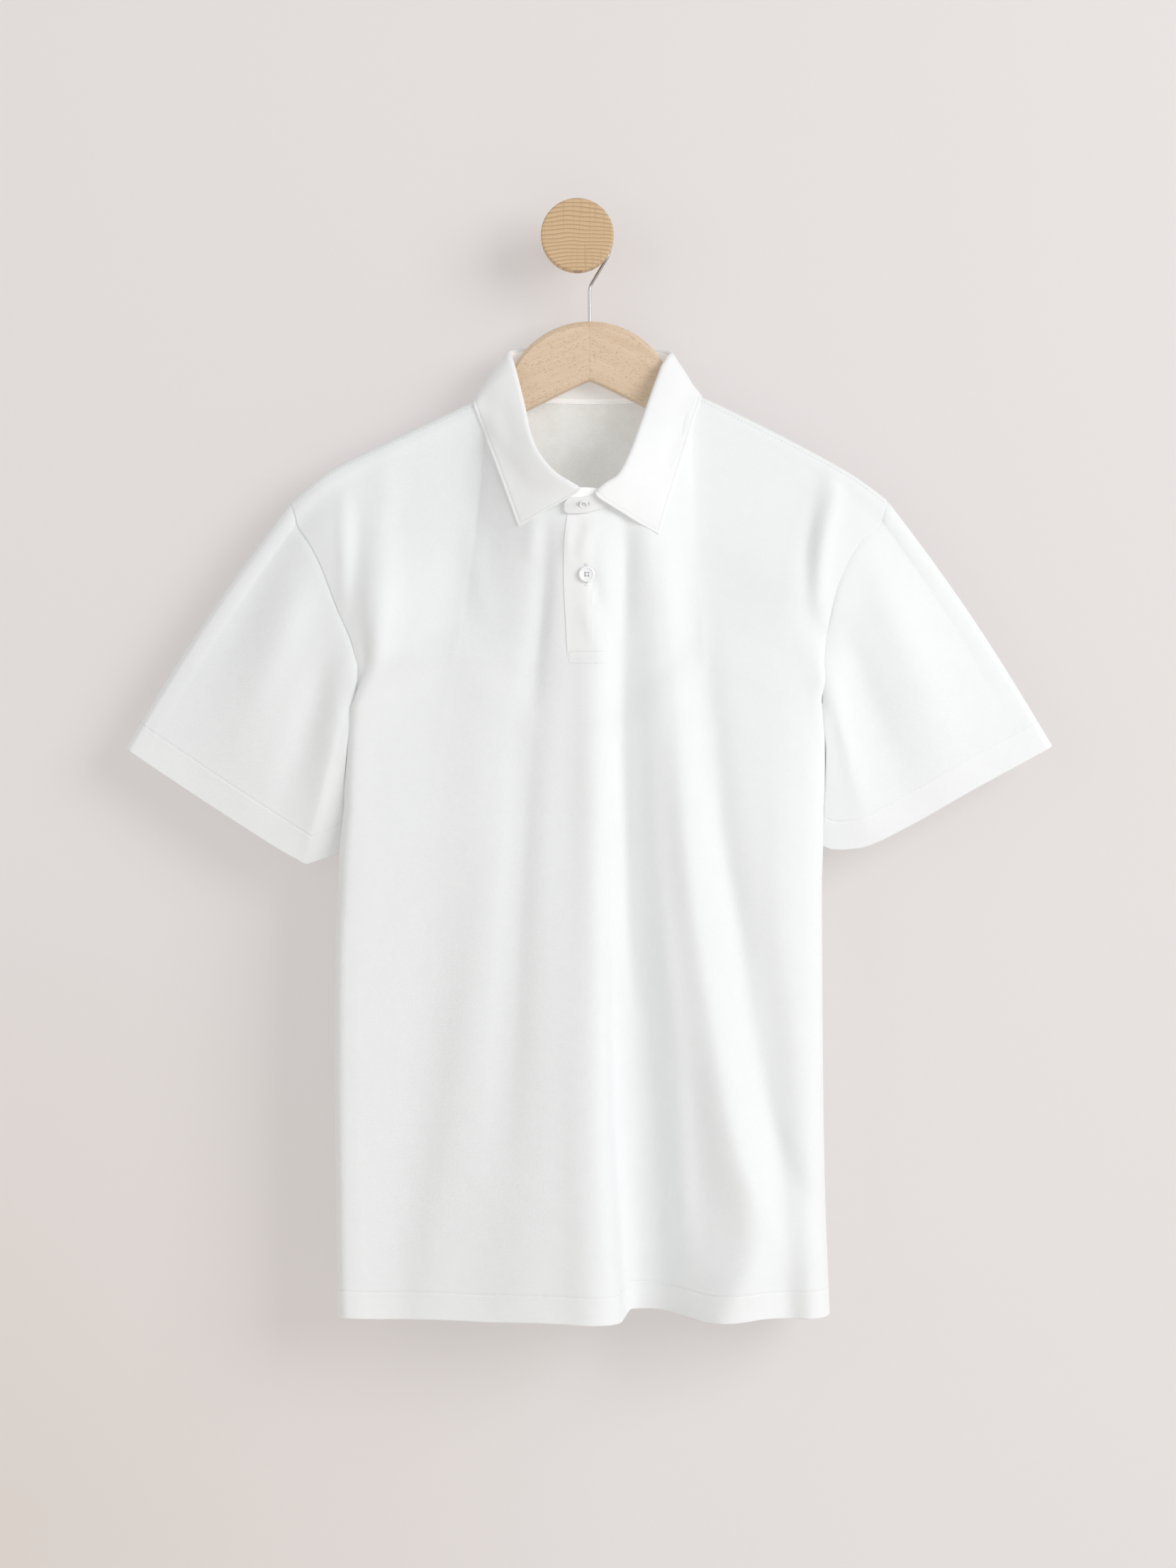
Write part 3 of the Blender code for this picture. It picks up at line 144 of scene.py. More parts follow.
FRONT_TURNS = [((5, -6, -17), (-0.2, 0.82, 0.5)), ((2, -5, -17), (0, 0.88, 0.46)),
               ((0, -4.5, -17), (0, 0.88, 0.46)), ((0, -5, -17), (0, 0.88, 0.46)),
               ((-4, -7, -17), (0.15, 0.75, 0.6)), ((-6, -6, -19), (0.3, 0.4, 0.85)),
               ((-5, -5, -20), (0.3, 0.2, 0.93)), ((-1, -2, -22), (0.1, 0.05, 1)), ((0, -1, -22), (0, 0, 1))]
BACK_TURNS = [((7, 15.5, -15), (-0.2, -0.85, -0.3)), ((1, 20, -11), (0, -0.88, -0.4)),
              ((0, 21, -8), (0, -0.88, -0.46)), ((0, 21.5, -8), (0, -0.88, -0.46)),
              ((-8, 22.5, -11), (0, -0.88, -0.35)), ((-4, 12, -16), (0.15, -0.7, 0.4)),
              ((-2, 2.5, -21), (0.1, -0.2, 0.95)), ((0, 1, -22), (0, -0.05, 1)), ((0, 1, -22), (0, 0, 1))]
FRONT_EDGES = (FRONT_NECK, FRONT_TURNS, FRONT_ARMHOLE)
BACK_EDGES = (BACK_NECK, BACK_TURNS, BACK_ARMHOLE)

# Hem opening of each sleeve: from the under seam round the front to the top fold, and the places behind.
SLEEVE_HEM = {
    "left": ([(-181, -36, -457.5), (-185.5, -44, -461.5), (-196, -50, -472.5), (-205.5, -54, -481.5),
              (-211.4, -55.5, -486.2), (-217, -55.5, -483.3), (-232, -56, -474), (-296, -49, -433),
              (-346.5, -43.5, -399.5), (-351.2, -38, -396.3)],
             [(-346.5, -32.5, -399.5), (-300, -26, -430), (-236, -19, -470), (-204, -16.5, -476)]),
    "right": ([(191.5, -36, -455), (195.5, -42, -458), (205.3, -48, -465), (217, -53, -475.2),
               (254, -54, -458.1), (303.8, -50, -430), (364, -43.5, -397.5), (368.8, -38, -394.6)],
              [(364, -32.5, -397.5), (312, -26, -424), (250, -19, -458), (214, -16.5, -468)]),
}
SLEEVE_ROWS = 10

# Folds of the sleeves: place round the front (0 under seam, 1 top fold) at the armhole and at the hem,
# height, spread round, and where along the sleeve the fold is strongest and how far it reaches.
SLEEVE_FOLDS = {
    "left": [(0.27, 0.22, 5, 0.07, 0.35, 0.45), (0.42, 0.36, -3.5, 0.08, 0.45, 0.35),
             (0.72, 0.6, 4.5, 0.1, 0.25, 0.4), (0.9, 0.8, -2, 0.07, 0.35, 0.35)],
    "right": [(0.25, 0.22, 5, 0.07, 0.35, 0.45), (0.45, 0.42, -4.5, 0.09, 0.45, 0.45),
              (0.75, 0.62, 4.5, 0.1, 0.35, 0.5)],
}

# Collar sections from the front end round to centre back: fold line and outer edge of the fall.
# A depth of None lays the outer edge on the cloth below it.
COLLAR = {
    "left": [((3.3, -84.8, -200), (-45.1, None, -226.5)), ((-1, -84.4, -197), (-49, None, -215.5)),
             ((-13.6, -82, -190), (-56, None, -196.5)), ((-27.1, -76, -175.5), (-63.5, None, -176)),
             ((-35.4, -67.5, -158.5), (-70, None, -158.5)), ((-41.5, -54.5, -133.5), (-76.5, None, -140.8)),
             ((-50.5, -38.5, -97), (-82.5, -39, -123.5)), ((-52, -26, -89), (-78, -14, -123.5)),
             ((-38, -16, -85.5), (-58, -7.5, -127)), ((7.5, -14, -84), (7.5, -6.5, -127.5))],
    "right": [((12.3, -86.2, -203.3), (62.5, None, -232.8)), ((17.4, -85.6, -198.5), (66.5, None, -219)),
              ((30.3, -82, -190), (72.5, None, -199.5)), ((40.4, -75, -171.5), (79, None, -178.5)),
              ((47.5, -66, -153), (85.5, None, -157.5)), ((54.9, -53.5, -133), (91, None, -139.5)),
              ((68, -38.5, -97), (97.5, -39, -121)), ((71.5, -25.5, -90), (96, -14, -123)),
              ((56, -16, -85.5), (75, -7.5, -127)), ((7.5, -14, -84), (7.5, -6.5, -127.5))],
}
FALL_ROWS = 4                      # rows of the fall below its roll
FALL_ROLL = (0, 55, 110, 165)      # turn of the cloth at the rows of the roll, in degrees
ROLL_RADIUS = 1.7
EDGE_LIFT = 1.3                    # outer edge of the fall above the cloth it lies on

# Visible outline of the placket: level, left edge, right edge.
PLACKET = [(-218.5, -7.2, 22.7), (-232, -9, 22.7), (-260, -10.2, 22.7), (-300, -8.6, 22.7),
           (-333, -6.9, 22.7)]
PLACKET_ROWS, PLACKET_COLUMNS = 24, 12
PLACKET_LIFT = 0.72      # middle of the outer placket before the middle of the front, along its left edge
BOX_STITCH = (-6, 23.2, -332.4, -323.5)      # stitched box at the foot of the placket: x from, to, z from, to

# Lap of the collar stand over its other end, and that other end, seen between the falls: x, then depth and
# level of the lower and of the upper edge.
STAND_LAP = [(4, -85.3, -217.2, -87, -205.8), (-0.5, -85.2, -217.4, -86.8, -205.9),
             (-4.5, -85, -217.5, -86.4, -206.3), (-7.6, -84.8, -217.2, -86, -207.6),
             (-9.6, -84.6, -215.6, -85.4, -210.4)]
UNDER_LAP = [(-6, -83.2, -214, -84.6, -199.6), (0, -83.6, -214, -84.9, -198.8),
             (6, -83.8, -214, -85, -198.6), (12, -83.8, -214, -84.9, -198.9),
             (18, -83.4, -214, -84.4, -199.8)]

# Buttons: middle x and z, radius, clearance over the cloth, and tilt about X and Z in degrees.
BUTTONS = {"button_stand": (5, -210.6, 3.3, 0.2, 38, -6), "button_placket": (7.2, -264.5, 6.2, 0.5, 0, 6)}
# Shape of a button across its radius: share of the radius and height.
BUTTON_SECTION = [(0, -1.05), (0.42, -1.05), (0.58, -1.1), (0.66, -1.25), (0.71, -1.5), (0.77, -1.74),
                  (0.83, -1.82), (0.89, -1.78), (0.94, -1.62), (0.98, -1.38), (1, -1), (0.98, -0.6),
                  (0.93, -0.25), (0.85, -0.05), (0.7, 0), (0.35, 0), (0, 0)]
BUTTON_SCALE = 5.6                               # radius of the button that the holes are drawn for
HOLE_RADIUS, HOLE_REACH = 0.75, 1.35 * 0.7071      # size of a hole, and its x and z from the middle

# The hanger, mirrored about its centre line: x from the centre, top and bottom level.
HANGER_CENTRE_X = 9.6
HANGER_LEFT = [(0, -63.7, -109.8), (8, -64.2, -113.2), (18, -66.2, -118), (28, -69.8, -122.9),
               (38, -75.4, -127.8), (46, -81.8, -131.7), (53.7, -90.4, -135.4), (60, -100.8, -138.5),
               (65.5, -111, -141.3), (70.5, -119.6, -143.8), (77, -123.8, -147.5), (92, -130.3, -154.6),
               (125, -144.2, -171), (160, -161.5, -187), (186, -175.8, -200), (194, -183.2, -202),
               (198, -189, -200.5)]

# How far the bottom of the front hangs higher than its level hem: x, rise. It fades out above the hem.
HEM_RISE = [(-190, 0.6), (-150, 0), (-110, 0.9), (-70, 0.2), (-30, 1.1), (10, 0.3), (36, 0.6), (41, 5.6),
            (62, 5), (82, 2.4), (100, 0.2), (118, 0.5), (140, 2), (162, 1), (185, 1.6)]
HEM_RISE_REACH = 45

# How far both side edges of the body stand out from the plain tube: level, left, right.
SIDE_OUT = [(-834, 0.5, 1), (-740, 1, 1.5), (-640, 3, 3), (-553, 4.4, 3.9), (-498, 3.6, 4.7), (-443, 4.2, 8),
            (-389, 11.5, 15.4), (-366, 13.5, 16), (-345, 5, 11), (-331, 0.8, 6), (-312, 0, 2), (-285, 0, 0),
            (-60, 0, 0)]

# Lower front of the armholes, where the seam lies nearly level with the cloth: x, z, spread across and along,
# and how far it comes forward.
SEAM_FORWARD = [(-168, -345, 22, 40, 9), (186, -345, 22, 40, 8)]

# Front's edge over the lower armhole seams: x, z, spread across and along, and how far it reaches outwards.
SEAM_LAP = [(-167, -346, 12, 24, -2.8), (188, -341, 13, 38, 4.8)]

# Small creases of the front: height, spread to the left and to the right, places x, z from the top down.
FRONT_CREASES = [
    (1.9, 5, 7, ((-183, -192), (-181, -225), (-179, -258), (-178, -290))),  # ridge beside the left armhole
    (-1.8, 6, 7, ((-172, -197), (-171, -228), (-173, -269), (-174, -307))),  # hollow right of it
    (1.9, 8, 10, ((-144, -225), (-147, -279), (-152, -312), (-156, -356))),  # ridge above the left underarm
    # crisp left edge under the arm
    (2.2, 5, 12, ((-159, -329), (-162, -350), (-167, -389), (-173, -428), (-176, -476))),
    (2.2, 7, 6, ((-32, -215), (-34, -236), (-36, -255))),  # drape left of the placket
    (1.8, 42, 12, ((-50, -312), (-55, -345), (-59, -400), (-61, -454), (-66, -531), (-72, -613), (-76, -695),
                   (-80, -749))),  # long ridge left of the placket
    (-3.2, 30, 11, ((-25, -236), (-28, -285), (-31, -345), (-37, -400), (-42, -465), (-46, -542),
                    (-50, -640), (-56, -722))),  # hollow beside the placket
    (-3.4, 10, 6, ((-21, -218), (-23, -241), (-26, -285), (-31, -329), (-35, -372))),  # its deeper upper part
    (1.6, 9, 10, ((-82, -225), (-78, -258), (-68, -301))),  # shallow chest ridge
    (1.8, 3, 6, ((-7, -217), (-8, -236), (-9, -258))),  # bright strip on the placket
    (2.3, 5, 6, ((14, -217), (9, -231), (1, -253))),  # drape on the placket
    (-3.2, 4, 5, ((11, -258), (15, -274), (19, -290), (22, -309))),  # hollow under the button
    (1.5, 5, 4, ((5, -285), (11, -307), (17, -326), (23, -340))),  # drape from the button down
    # broad rise to the middle of the front
    (9, 78, 20, ((6, -285), (7, -394), (10, -531), (13, -695), (19, -825), (23, -1241))),
    (7.5, 105, 30, ((-13, -449), (-13, -585), (-8, -695), (-2, -825), (3, -1241))),  # second rise, lower down
    # wide hollow of the left half
    (-16.5, 230, 84, ((-111, -329), (-114, -454), (-119, -585), (-128, -695), (-139, -825), (-144, -1241))),
    # hollow right of the middle
    (-3.5, 6, 7, ((36, -285), (35, -345), (34, -400), (36, -460), (39, -542), (45, -602))),
    (-5, 6, 8, ((37, -217), (37, -258), (36, -312))),  # its start below the collar
    (3.8, 10, 10, ((53, -290), (54, -345), (56, -400), (60, -476), (66, -542), (76, -618), (81, -695),
                   (82, -793))),  # ridge inside the wide hollow
    (2.4, 8, 12, ((66, -228), (71, -285), (76, -345), (80, -405), (83, -460), (92, -536), (106, -618),
                  (121, -695), (155, -782), (172, -827))),  # ridge from the right collar point down
    (2, 9, 14, ((68, -219), (71, -285), (74, -329))),  # its upper part
    (-4, 11, 9, ((99, -285), (100, -345), (106, -405), (110, -460), (121, -536), (131, -613), (150, -695),
                 (199, -782))),  # hollow right of it
    (0.9, 9, 11, ((142, -356), (148, -449), (154, -558), (168, -667))),  # far right ridge
    (2.4, 6, 7, ((195, -203), (188, -236), (186, -274), (188, -312))),  # ridge at the right shoulder
    (-2.4, 8, 7, ((189, -197), (180, -241), (179, -285), (182, -340))),  # hollow left of it
    (-2, 30, 16, ((-71, -432), (-87, -509), (-102, -596), (-113, -673), (-126, -749), (-134, -812),
                  (-150, -1023))),  # long slanted hollow on the left
]

# Small creases of the back.
BACK_CREASES = [
    (2.2, 9, 8, ((-150, -200), (-148, -300), (-140, -420), (-143, -560))),
    (-1.8, 8, 8, ((-128, -220), (-122, -340), (-112, -480))),
    (2, 9, 9, ((-96, -300), (-84, -440), (-88, -600), (-100, -760))),
    (-1.6, 8, 8, ((-60, -420), (-52, -600), (-58, -780))),
    (1.8, 8, 9, ((-22, -260), (-16, -430), (-14, -620), (-20, -800))),
    (-1.4, 8, 7, ((16, -380), (22, -560), (26, -760))),
    (2.2, 9, 10, ((52, -240), (62, -420), (78, -600), (96, -780))),
    (-1.8, 8, 8, ((96, -380), (112, -540), (128, -700))),
    (2.2, 8, 9, ((150, -210), (152, -330), (150, -480), (158, -640))),
]

# ---------------------------------------------------------------- fineness of the cloth
ROW_STEP, COLUMN_STEP = 4, 3              # spacing of the nodes of a panel
TRIM_STEP = 2                             # spacing on the collar and the placket
RING_FINE = 6                             # columns of a sleeve for each node of its armhole
SEAM_SHOWN = 0.9                          # share of the solids' seam gap that shows at the armholes
BODY_CLEAR = 1.3                          # middle of a sleeve's under side from the middle of the body's side
HEM, SLEEVE_HEM_WIDTH = 20, 22            # turned-up hems of body and sleeves
SHOULDER_STITCH = 4                       # topstitch on the front below the shoulder seam
TRIM_STITCH = 2                           # stitches along the edge of the collar

# Distances from an edge at which close rows lie, for rolled edges, stitch grooves and hems.
HEM_LANES = (0, 0.4, 1.2, 3, 7, 11, 15, 17.5, 18.8, 19.4, HEM, 20.6, 21.2, 22.5, 25)
SLEEVE_HEM_LANES = (0, 0.4, 1.2, 3, 7, 12, 17, 19.5, 20.8, 21.4, SLEEVE_HEM_WIDTH, 22.6, 23.2, 24.5, 27)
SEAM_LANES = (0, 0.4, 1, 2, 4)
TOP_LANES = (0, 0.4, 1, 1.6, 2.2, 2.8, SHOULDER_STITCH)
SIDE_LANES = (0, 0.4, 1, 2.2)
RING_LANES = (0.02, 0.05, 0.1)
TRIM_LANES = (0, 0.3, 0.8, 1.4, TRIM_STITCH, 2.6, 3.4)
PLAIN_LANES = (0, 0.4, 1.2)
SHOULDER_FROM = 78         # distance from the neck's centre line at which the shoulder seams start
ARMHOLE_STEP = 0.8         # how far the sleeve tucks in under the edge of its armhole
WALL_RISE = 18             # depth over which the body's side bulges out before it turns to the front
NECK_TAPE = (0.4, 4.2)     # upper and lower edge of the tape inside the back neck, from the seam
UNDER_CORNER = 0.26        # share of a sleeve's front over which its under edge turns back
UNDER_FORWARD = 11         # how far the sleeve's under side fills forward beside the body

# ---------------------------------------------------------------- looks, in metres
KNIT_WALE, KNIT_COURSE = 0.0011, 0.0009      # width and height of a stitch of the knit
THROUGH_LIGHT = 0.24                         # painted glow of the cloth's inner side, standing in for light that comes through one layer of the cloth
CAMERA_AT, CAMERA_LENS = (8.27, -2695, -424.8), 78.36      # place in millimetres
# the wall's colour is kept darker and it glows with painted light of that colour, so the shadows cast on it
# stay faint
WALL_COLOR, WALL_GLOW = (0.44, 0.42, 0.415), 0.78
WALL_WARM = (0.413, 0.381, 0.358)            # colour mixed in low on the left, darker and warmer
FLOOR_Z = -1.75


# ---------------------------------------------------------------- small maths helpers
def unit(v):
    """Vectors scaled to length one along the last axis."""
    v = np.asarray(v, float)
    return v / np.maximum(np.linalg.norm(v, axis=-1, keepdims=True), 1e-9)


def bell(v):
    """Smooth bump: 1 at 0, nothing far from it."""
    return np.exp(-v**2)


def eased(share):
    """Share kept within 0 and 1, with a soft start and end."""
    share = np.clip(share, 0, 1)
    return share * share * (3 - 2 * share)


def hermite(p0, m0, p1, m1, t):
    """Cubic from p0 to p1 with end tangents m0 and m1."""
    return ((2 * t**3 - 3 * t**2 + 1) * p0 + (t**3 - 2 * t**2 + t) * m0
            + (3 * t**2 - 2 * t**3) * p1 + (t**3 - t**2) * m1)


def smooth_table(rows, z):
    """Smooth interpolation of a table whose first column is the level."""
    data = np.array(sorted(rows), float)
    keys, vals = data[:, 0], data[:, 1:]
    slope = np.gradient(vals, keys, axis=0)
    z = np.clip(np.asarray(z, float), keys[0], keys[-1])
    i = np.clip(np.searchsorted(keys, z) - 1, 0, len(keys) - 2)
    h = (keys[i + 1] - keys[i])[..., None]
    t = (z - keys[i])[..., None] / h
    return np.moveaxis(hermite(vals[i], h * slope[i], vals[i + 1], h * slope[i + 1], t), -1, 0)


def arc_positions(points):
    """Running length of a polyline, counted on its first three columns."""
    steps = np.linalg.norm(np.diff(points[:, :3], axis=0), axis=1)
    return np.concatenate([[0], np.cumsum(steps)])


def read_at(want, run, rows):
    """Every column of the rows read at running lengths."""
    return np.stack([np.interp(want, run, column) for column in np.asarray(rows).T], axis=-1)


def spline(points, count):
    """Catmull-Rom curve through the rows of points, cut into equal lengths."""
    p = np.asarray(points, float)
    p = np.vstack([2 * p[0] - p[1], p, 2 * p[-1] - p[-2]])
    gap = np.maximum(np.linalg.norm(np.diff(p[:, :3], axis=0), axis=1), 1e-6)
    t = np.linspace(0, 1, 24, endpoint=False)[:, None]
    curve = []
    for k in range(1, len(p) - 2):
        m0 = (p[k + 1] - p[k - 1]) * gap[k] / (gap[k] + gap[k - 1])
        m1 = (p[k + 2] - p[k]) * gap[k] / (gap[k] + gap[k + 1])
        curve.append(hermite(p[k], m0, p[k + 1], m1, t))
    curve = np.vstack(curve + [p[-2:-1]])
    run = arc_positions(curve)
    return read_at(np.linspace(0, run[-1], count), run, curve)


# ---------------------------------------------------------------- relief of the folds
def ridge_relief(table, x, z):
    """Height of every ridge of a fold table at x, z; towards the viewer counts negative."""
    total = np.zeros(np.broadcast(x, z).shape)
    for rows in table.values():
        at, height, left, right = smooth_table(rows, z)
        inside = np.clip((rows[0][0] + 45 - z) / 45, 0, 1) * np.clip((z - rows[-1][0] + 60) / 60, 0, 1)
        total = total - height * bell((x - at) / np.where(x < at, left, right)) * inside
    return total


def valley_relief(x, z):
    """Depth of the valley right of the centre, and the sideways pinch of its steep wall."""
    depth, wall_x, wall_w, climb_x, climb_w, pinch = smooth_table(VALLEY, z)
    wall, climb = (x - wall_x) / wall_w, (x - climb_x) / climb_w
    return 0.5 * depth * (np.tanh(2 * wall) - np.tanh(2 * climb)), -pinch * wall_w * wall * bell(wall)


def add_relief(points, front, fade):
    """Points moved by the folds of their panel; fade weakens the folds near seams."""
    x, z = points[..., 0], points[..., 2]
    moved = points.copy()
    if front:
        down, pinch = valley_relief(x, z)
        moved[..., 0] += pinch * fade
        moved[..., 1] += (down + ridge_relief(FRONT_FOLDS, x, z)) * fade
    else:
        moved[..., 1] += ridge_relief(BACK_FOLDS, x, z) * fade
    return moved


def crease_relief(lines, x, z):
    """Height of small creases, each along its line of places."""
    total = np.zeros(x.shape)
    for height, left, right, places in lines:
        run = spline([(a, 0, b) for a, b in places], 40)[:, (0, 2)]
        nearest = np.full(x.shape, 1e9)
        side, share = np.zeros(x.shape), np.zeros(x.shape)
        for k in range(len(run) - 1):
            way = run[k + 1] - run[k]
            from_x, from_z = x - run[k, 0], z - run[k, 1]
            along = np.clip((from_x * way[0] + from_z * way[1]) / np.sum(way**2), 0, 1)
            off_x, off_z = from_x - along * way[0], from_z - along * way[1]
            away = np.hypot(off_x, off_z)
            closer = away < nearest
            nearest = np.where(closer, away, nearest)
            side = np.where(closer, off_x * abs(way[1]) - off_z * way[0] * np.sign(way[1]), side)
            share = np.where(closer, (k + along) / (len(run) - 1), share)
        strength = np.clip(np.sin(math.pi * share), 0, 1)**0.7
        total = total + height * strength * bell(nearest / np.where(side < 0, left, right))
    return total


def side_out(points):
    """Points moved out by the body's standing side edges."""
    x, z = points[..., 0], points[..., 2]
    level, left, right = np.array(SIDE_OUT).T
    amount = np.where(x < CENTRE_X, -np.interp(z, level, left), np.interp(z, level, right))
    moved = points.copy()
    moved[..., 0] += amount * eased((np.abs(x - CENTRE_X) - 90) / 80)
    return moved


def seam_forward(points):
    """Points of the front and the sleeves moved forward to the lower armhole seams."""
    x, y, z = np.moveaxis(points, -1, 0)
    depth = eased(np.interp(y, (-76, -60, -48), (0, 1, 0)))
    moved = points.copy()
    for at_x, at_z, across, along, height in SEAM_FORWARD:
        moved[..., 1] -= height * depth * bell(np.hypot((x - at_x) / across, (z - at_z) / along))
    return moved


def lap_over(points):
    """Points of the front moved out over the lower armhole seams."""
    x, z = points[..., 0], points[..., 2]
    moved = points.copy()
    for at_x, at_z, across, along, move in SEAM_LAP:
        near = bell(np.hypot((x - at_x) / across, (z - at_z) / along))
        moved[..., 0] += move * near
        moved[..., 1] -= 0.45 * abs(move) * near
    return moved


# ---------------------------------------------------------------- body of the shirt
def tube_points(z, xi, front):
    """Points of the plain tube at level z; xi runs from -1 at the left side seam to 1 at the right one."""
    left, right, mid, to_front, to_back, sq_l, sq_r, lean_l, lean_r = smooth_table(TUBE, z)
    depth = np.sqrt(np.maximum(1 - np.abs(xi)**np.where(xi < 0, sq_l, sq_r), 0))
    y = mid + (-to_front if front else to_back) * depth
    x = 0.5 * (left + right) + 0.5 * (right - left) * xi
    back_share = (y - mid + to_front) / (to_front + to_back)
    x = x + np.where(xi < 0, lean_l, -lean_r) * np.abs(xi)**5 * back_share
    return np.stack([x, y, np.full_like(x, z)], axis=-1)


def tube_row(z, count, front):
    """One level of a panel, cut into equal lengths of its folded cloth, and where its nodes lie across."""
    angle = np.linspace(-0.5 * math.pi, 0.5 * math.pi, 721)
    xi = np.sin(angle)
    run = arc_positions(add_relief(tube_points(z, xi, front), front, 1 - np.abs(xi)**10))
    xi = np.sin(np.interp(np.linspace(0, run[-1], count), run, angle))
    return tube_points(z, xi, front), xi


def edge_curve(edge, turns, counts, side):
    """Top edge of one half of a panel with its knee offsets and rises, cut into the given columns."""
    mirror = np.array([1 if side == 0 else -1, 1, 1])
    table = [np.concatenate([at[side], knee * mirror, unit(rise) * mirror])
             for at, (knee, rise) in zip(edge, turns)]
    neck_point = len(SHOULDER_EDGE) - 1
    shoulder = spline(table[:neck_point + 1], counts[0] + 1)
    return np.vstack([shoulder, spline(table[neck_point:], counts[1] + 1)[1:]])


def side_line(armhole, side, start, out_dir, last_turn, rows):
    """Side edge of a panel: side seam up to the underarm, armhole and last turn to the shoulder point."""
    points = [row[side] for row in armhole]
    seam_rows, hole_rows = rows
    under = np.array(points[0])
    length = np.linalg.norm(under - start)
    lean = np.array([0.25 if side == 0 else -0.25, 0, 1])
    seam = [hermite(start, out_dir * length, under, lean * length, t)
            for t in np.linspace(0, 1, seam_rows + 1)[:-1]]
    hole = spline(points + [tuple(last_turn[0])], hole_rows + 1)
    return np.vstack([seam, hole[:-1], last_turn])


def panel_grid(front):
    """Smooth middle surface of the front or the back without folds, rows from the hem up.

    Returns the grid, the share of the folds at each node, the way of the cloth at its top edge and how many
    rows lie below the underarm."""
    neck, turns, armhole = FRONT_EDGES if front else BACK_EDGES
    tube_rows, seam_rows, hole_rows, knee_rows = ROWS_F if front else ROWS_B
    counts = (SHOULDER, NECK_F if front else NECK_B)
    left, right = (edge_curve(SHOULDER_EDGE + neck, turns, counts, side) for side in (0, 1))
    top = np.vstack([left, right[::-1][1:]])
    column = np.arange(len(top))
    grid, fade = [], []
    # plain tube from the hem to the chest
    for z in np.linspace(HEM_Z, CHEST_Z, tube_rows + 1):
        start, xi = tube_row(z, len(top), front)
        grid.append(start)
        fade.append(1 - np.abs(xi)**10)
    # yoke area: the cloth leaves the tube straight, reaches the knee and turns to the top edge
    out_dir = unit(start - tube_points(CHEST_Z - 10, xi, front))
    rise = unit(top[:, 6:9])
    knee = top[:, :3] + top[:, 3:6]
    last = np.linalg.norm(top[:, :3] - knee, axis=1, keepdims=True) * KNEE_STRETCH
    edge = top[:, :3] - rise * 0.5 * SEAM
    span = np.linalg.norm(knee - start, axis=1, keepdims=True)
    knee_dir = unit(knee - start + 0.25 * span * out_dir)
    firm = np.clip(np.minimum(column, column[::-1]) / 3, 0, 1)
    for t in np.linspace(0, 1, seam_rows + hole_rows + 1)[1:]:
        grid.append(hermite(start, out_dir * span, knee, knee_dir * span, t))
        fade.append(fade[tube_rows] * (1 - t) + t * firm)
    for t in np.linspace(0, 1, knee_rows + 1)[1:]:
        grid.append(hermite(knee, knee_dir * last, edge, rise * last, t))
        fade.append((1 - t)**2 * firm)
    grid = np.array(grid)
    # both sides pulled onto the side seam and the armhole, the smooth part of the pull over more columns
    for side, end, near in ((0, 0, column), (1, -1, column[::-1])):
        last_turn = grid[-1 - knee_rows:, end]
        line = side_line(armhole, side, start[end], out_dir[end], last_turn, (seam_rows, hole_rows))
        pull = line - grid[tube_rows:, end]
        calm = pull.copy()
        for _ in range(6):
            calm[1:-1] = 0.25 * calm[:-2] + 0.5 * calm[1:-1] + 0.25 * calm[2:]
        calm *= np.clip((np.arange(len(line))[::-1] - knee_rows) / (0.5 * hole_rows), 0, 1)[:, None]
        for amount, reach in ((calm, SIDE_REACH), (pull - calm, 0.4 * SIDE_REACH)):
            grid[tube_rows:] += amount[:, None, :] * eased(1 - near / reach)[None, :, None]
    # half of the gap between front and back
    under = tube_rows + seam_rows + 1
    grid[:under, [0, -1], 1] += (-0.5 if front else 0.5) * SEAM
    return grid, np.array(fade), rise, under


def panel_nodes(front):
    """Nodes of the solid's own middle surface, folds included, with its normals."""
    grid, fade, rise, under = panel_grid(front)
    grid = side_out(add_relief(grid, front, fade))
    way = -1 if front else 1
    normals = grid_normals(grid, sides=((0, way, 0), (0, -way, 0)), turned=under, top=rise)
    return grid, normals if front else -normals


def fine_panel(front):
    """Fine middle surface of the front or the back, close rows along its edges, and its normals."""
    grid, fade, _, _ = panel_grid(front)
    packed = np.concatenate([grid, fade[..., None]], axis=-1)
    packed = fine_both(packed, (HEM_LANES, TOP_LANES, ROW_STEP), (SIDE_LANES, SIDE_LANES, COLUMN_STEP))
    points = add_relief(packed[..., :3], front, np.clip(packed[..., 3], 0, 1))
    creases = crease_relief(FRONT_CREASES if front else BACK_CREASES, points[..., 0], points[..., 2])
    points[..., 1] += -creases if front else creases
    points = side_out(points)
    if front:
        points = lap_over(seam_forward(points))
        x, rise = np.array(HEM_RISE).T
        points[..., 2] += np.interp(points[..., 0], x, rise) * bell(run_lengths(points) / HEM_RISE_REACH)
    normals = grid_normals(points)
    return points, normals if np.mean(normals[..., 1]) * (-1 if front else 1) > 0 else -normals


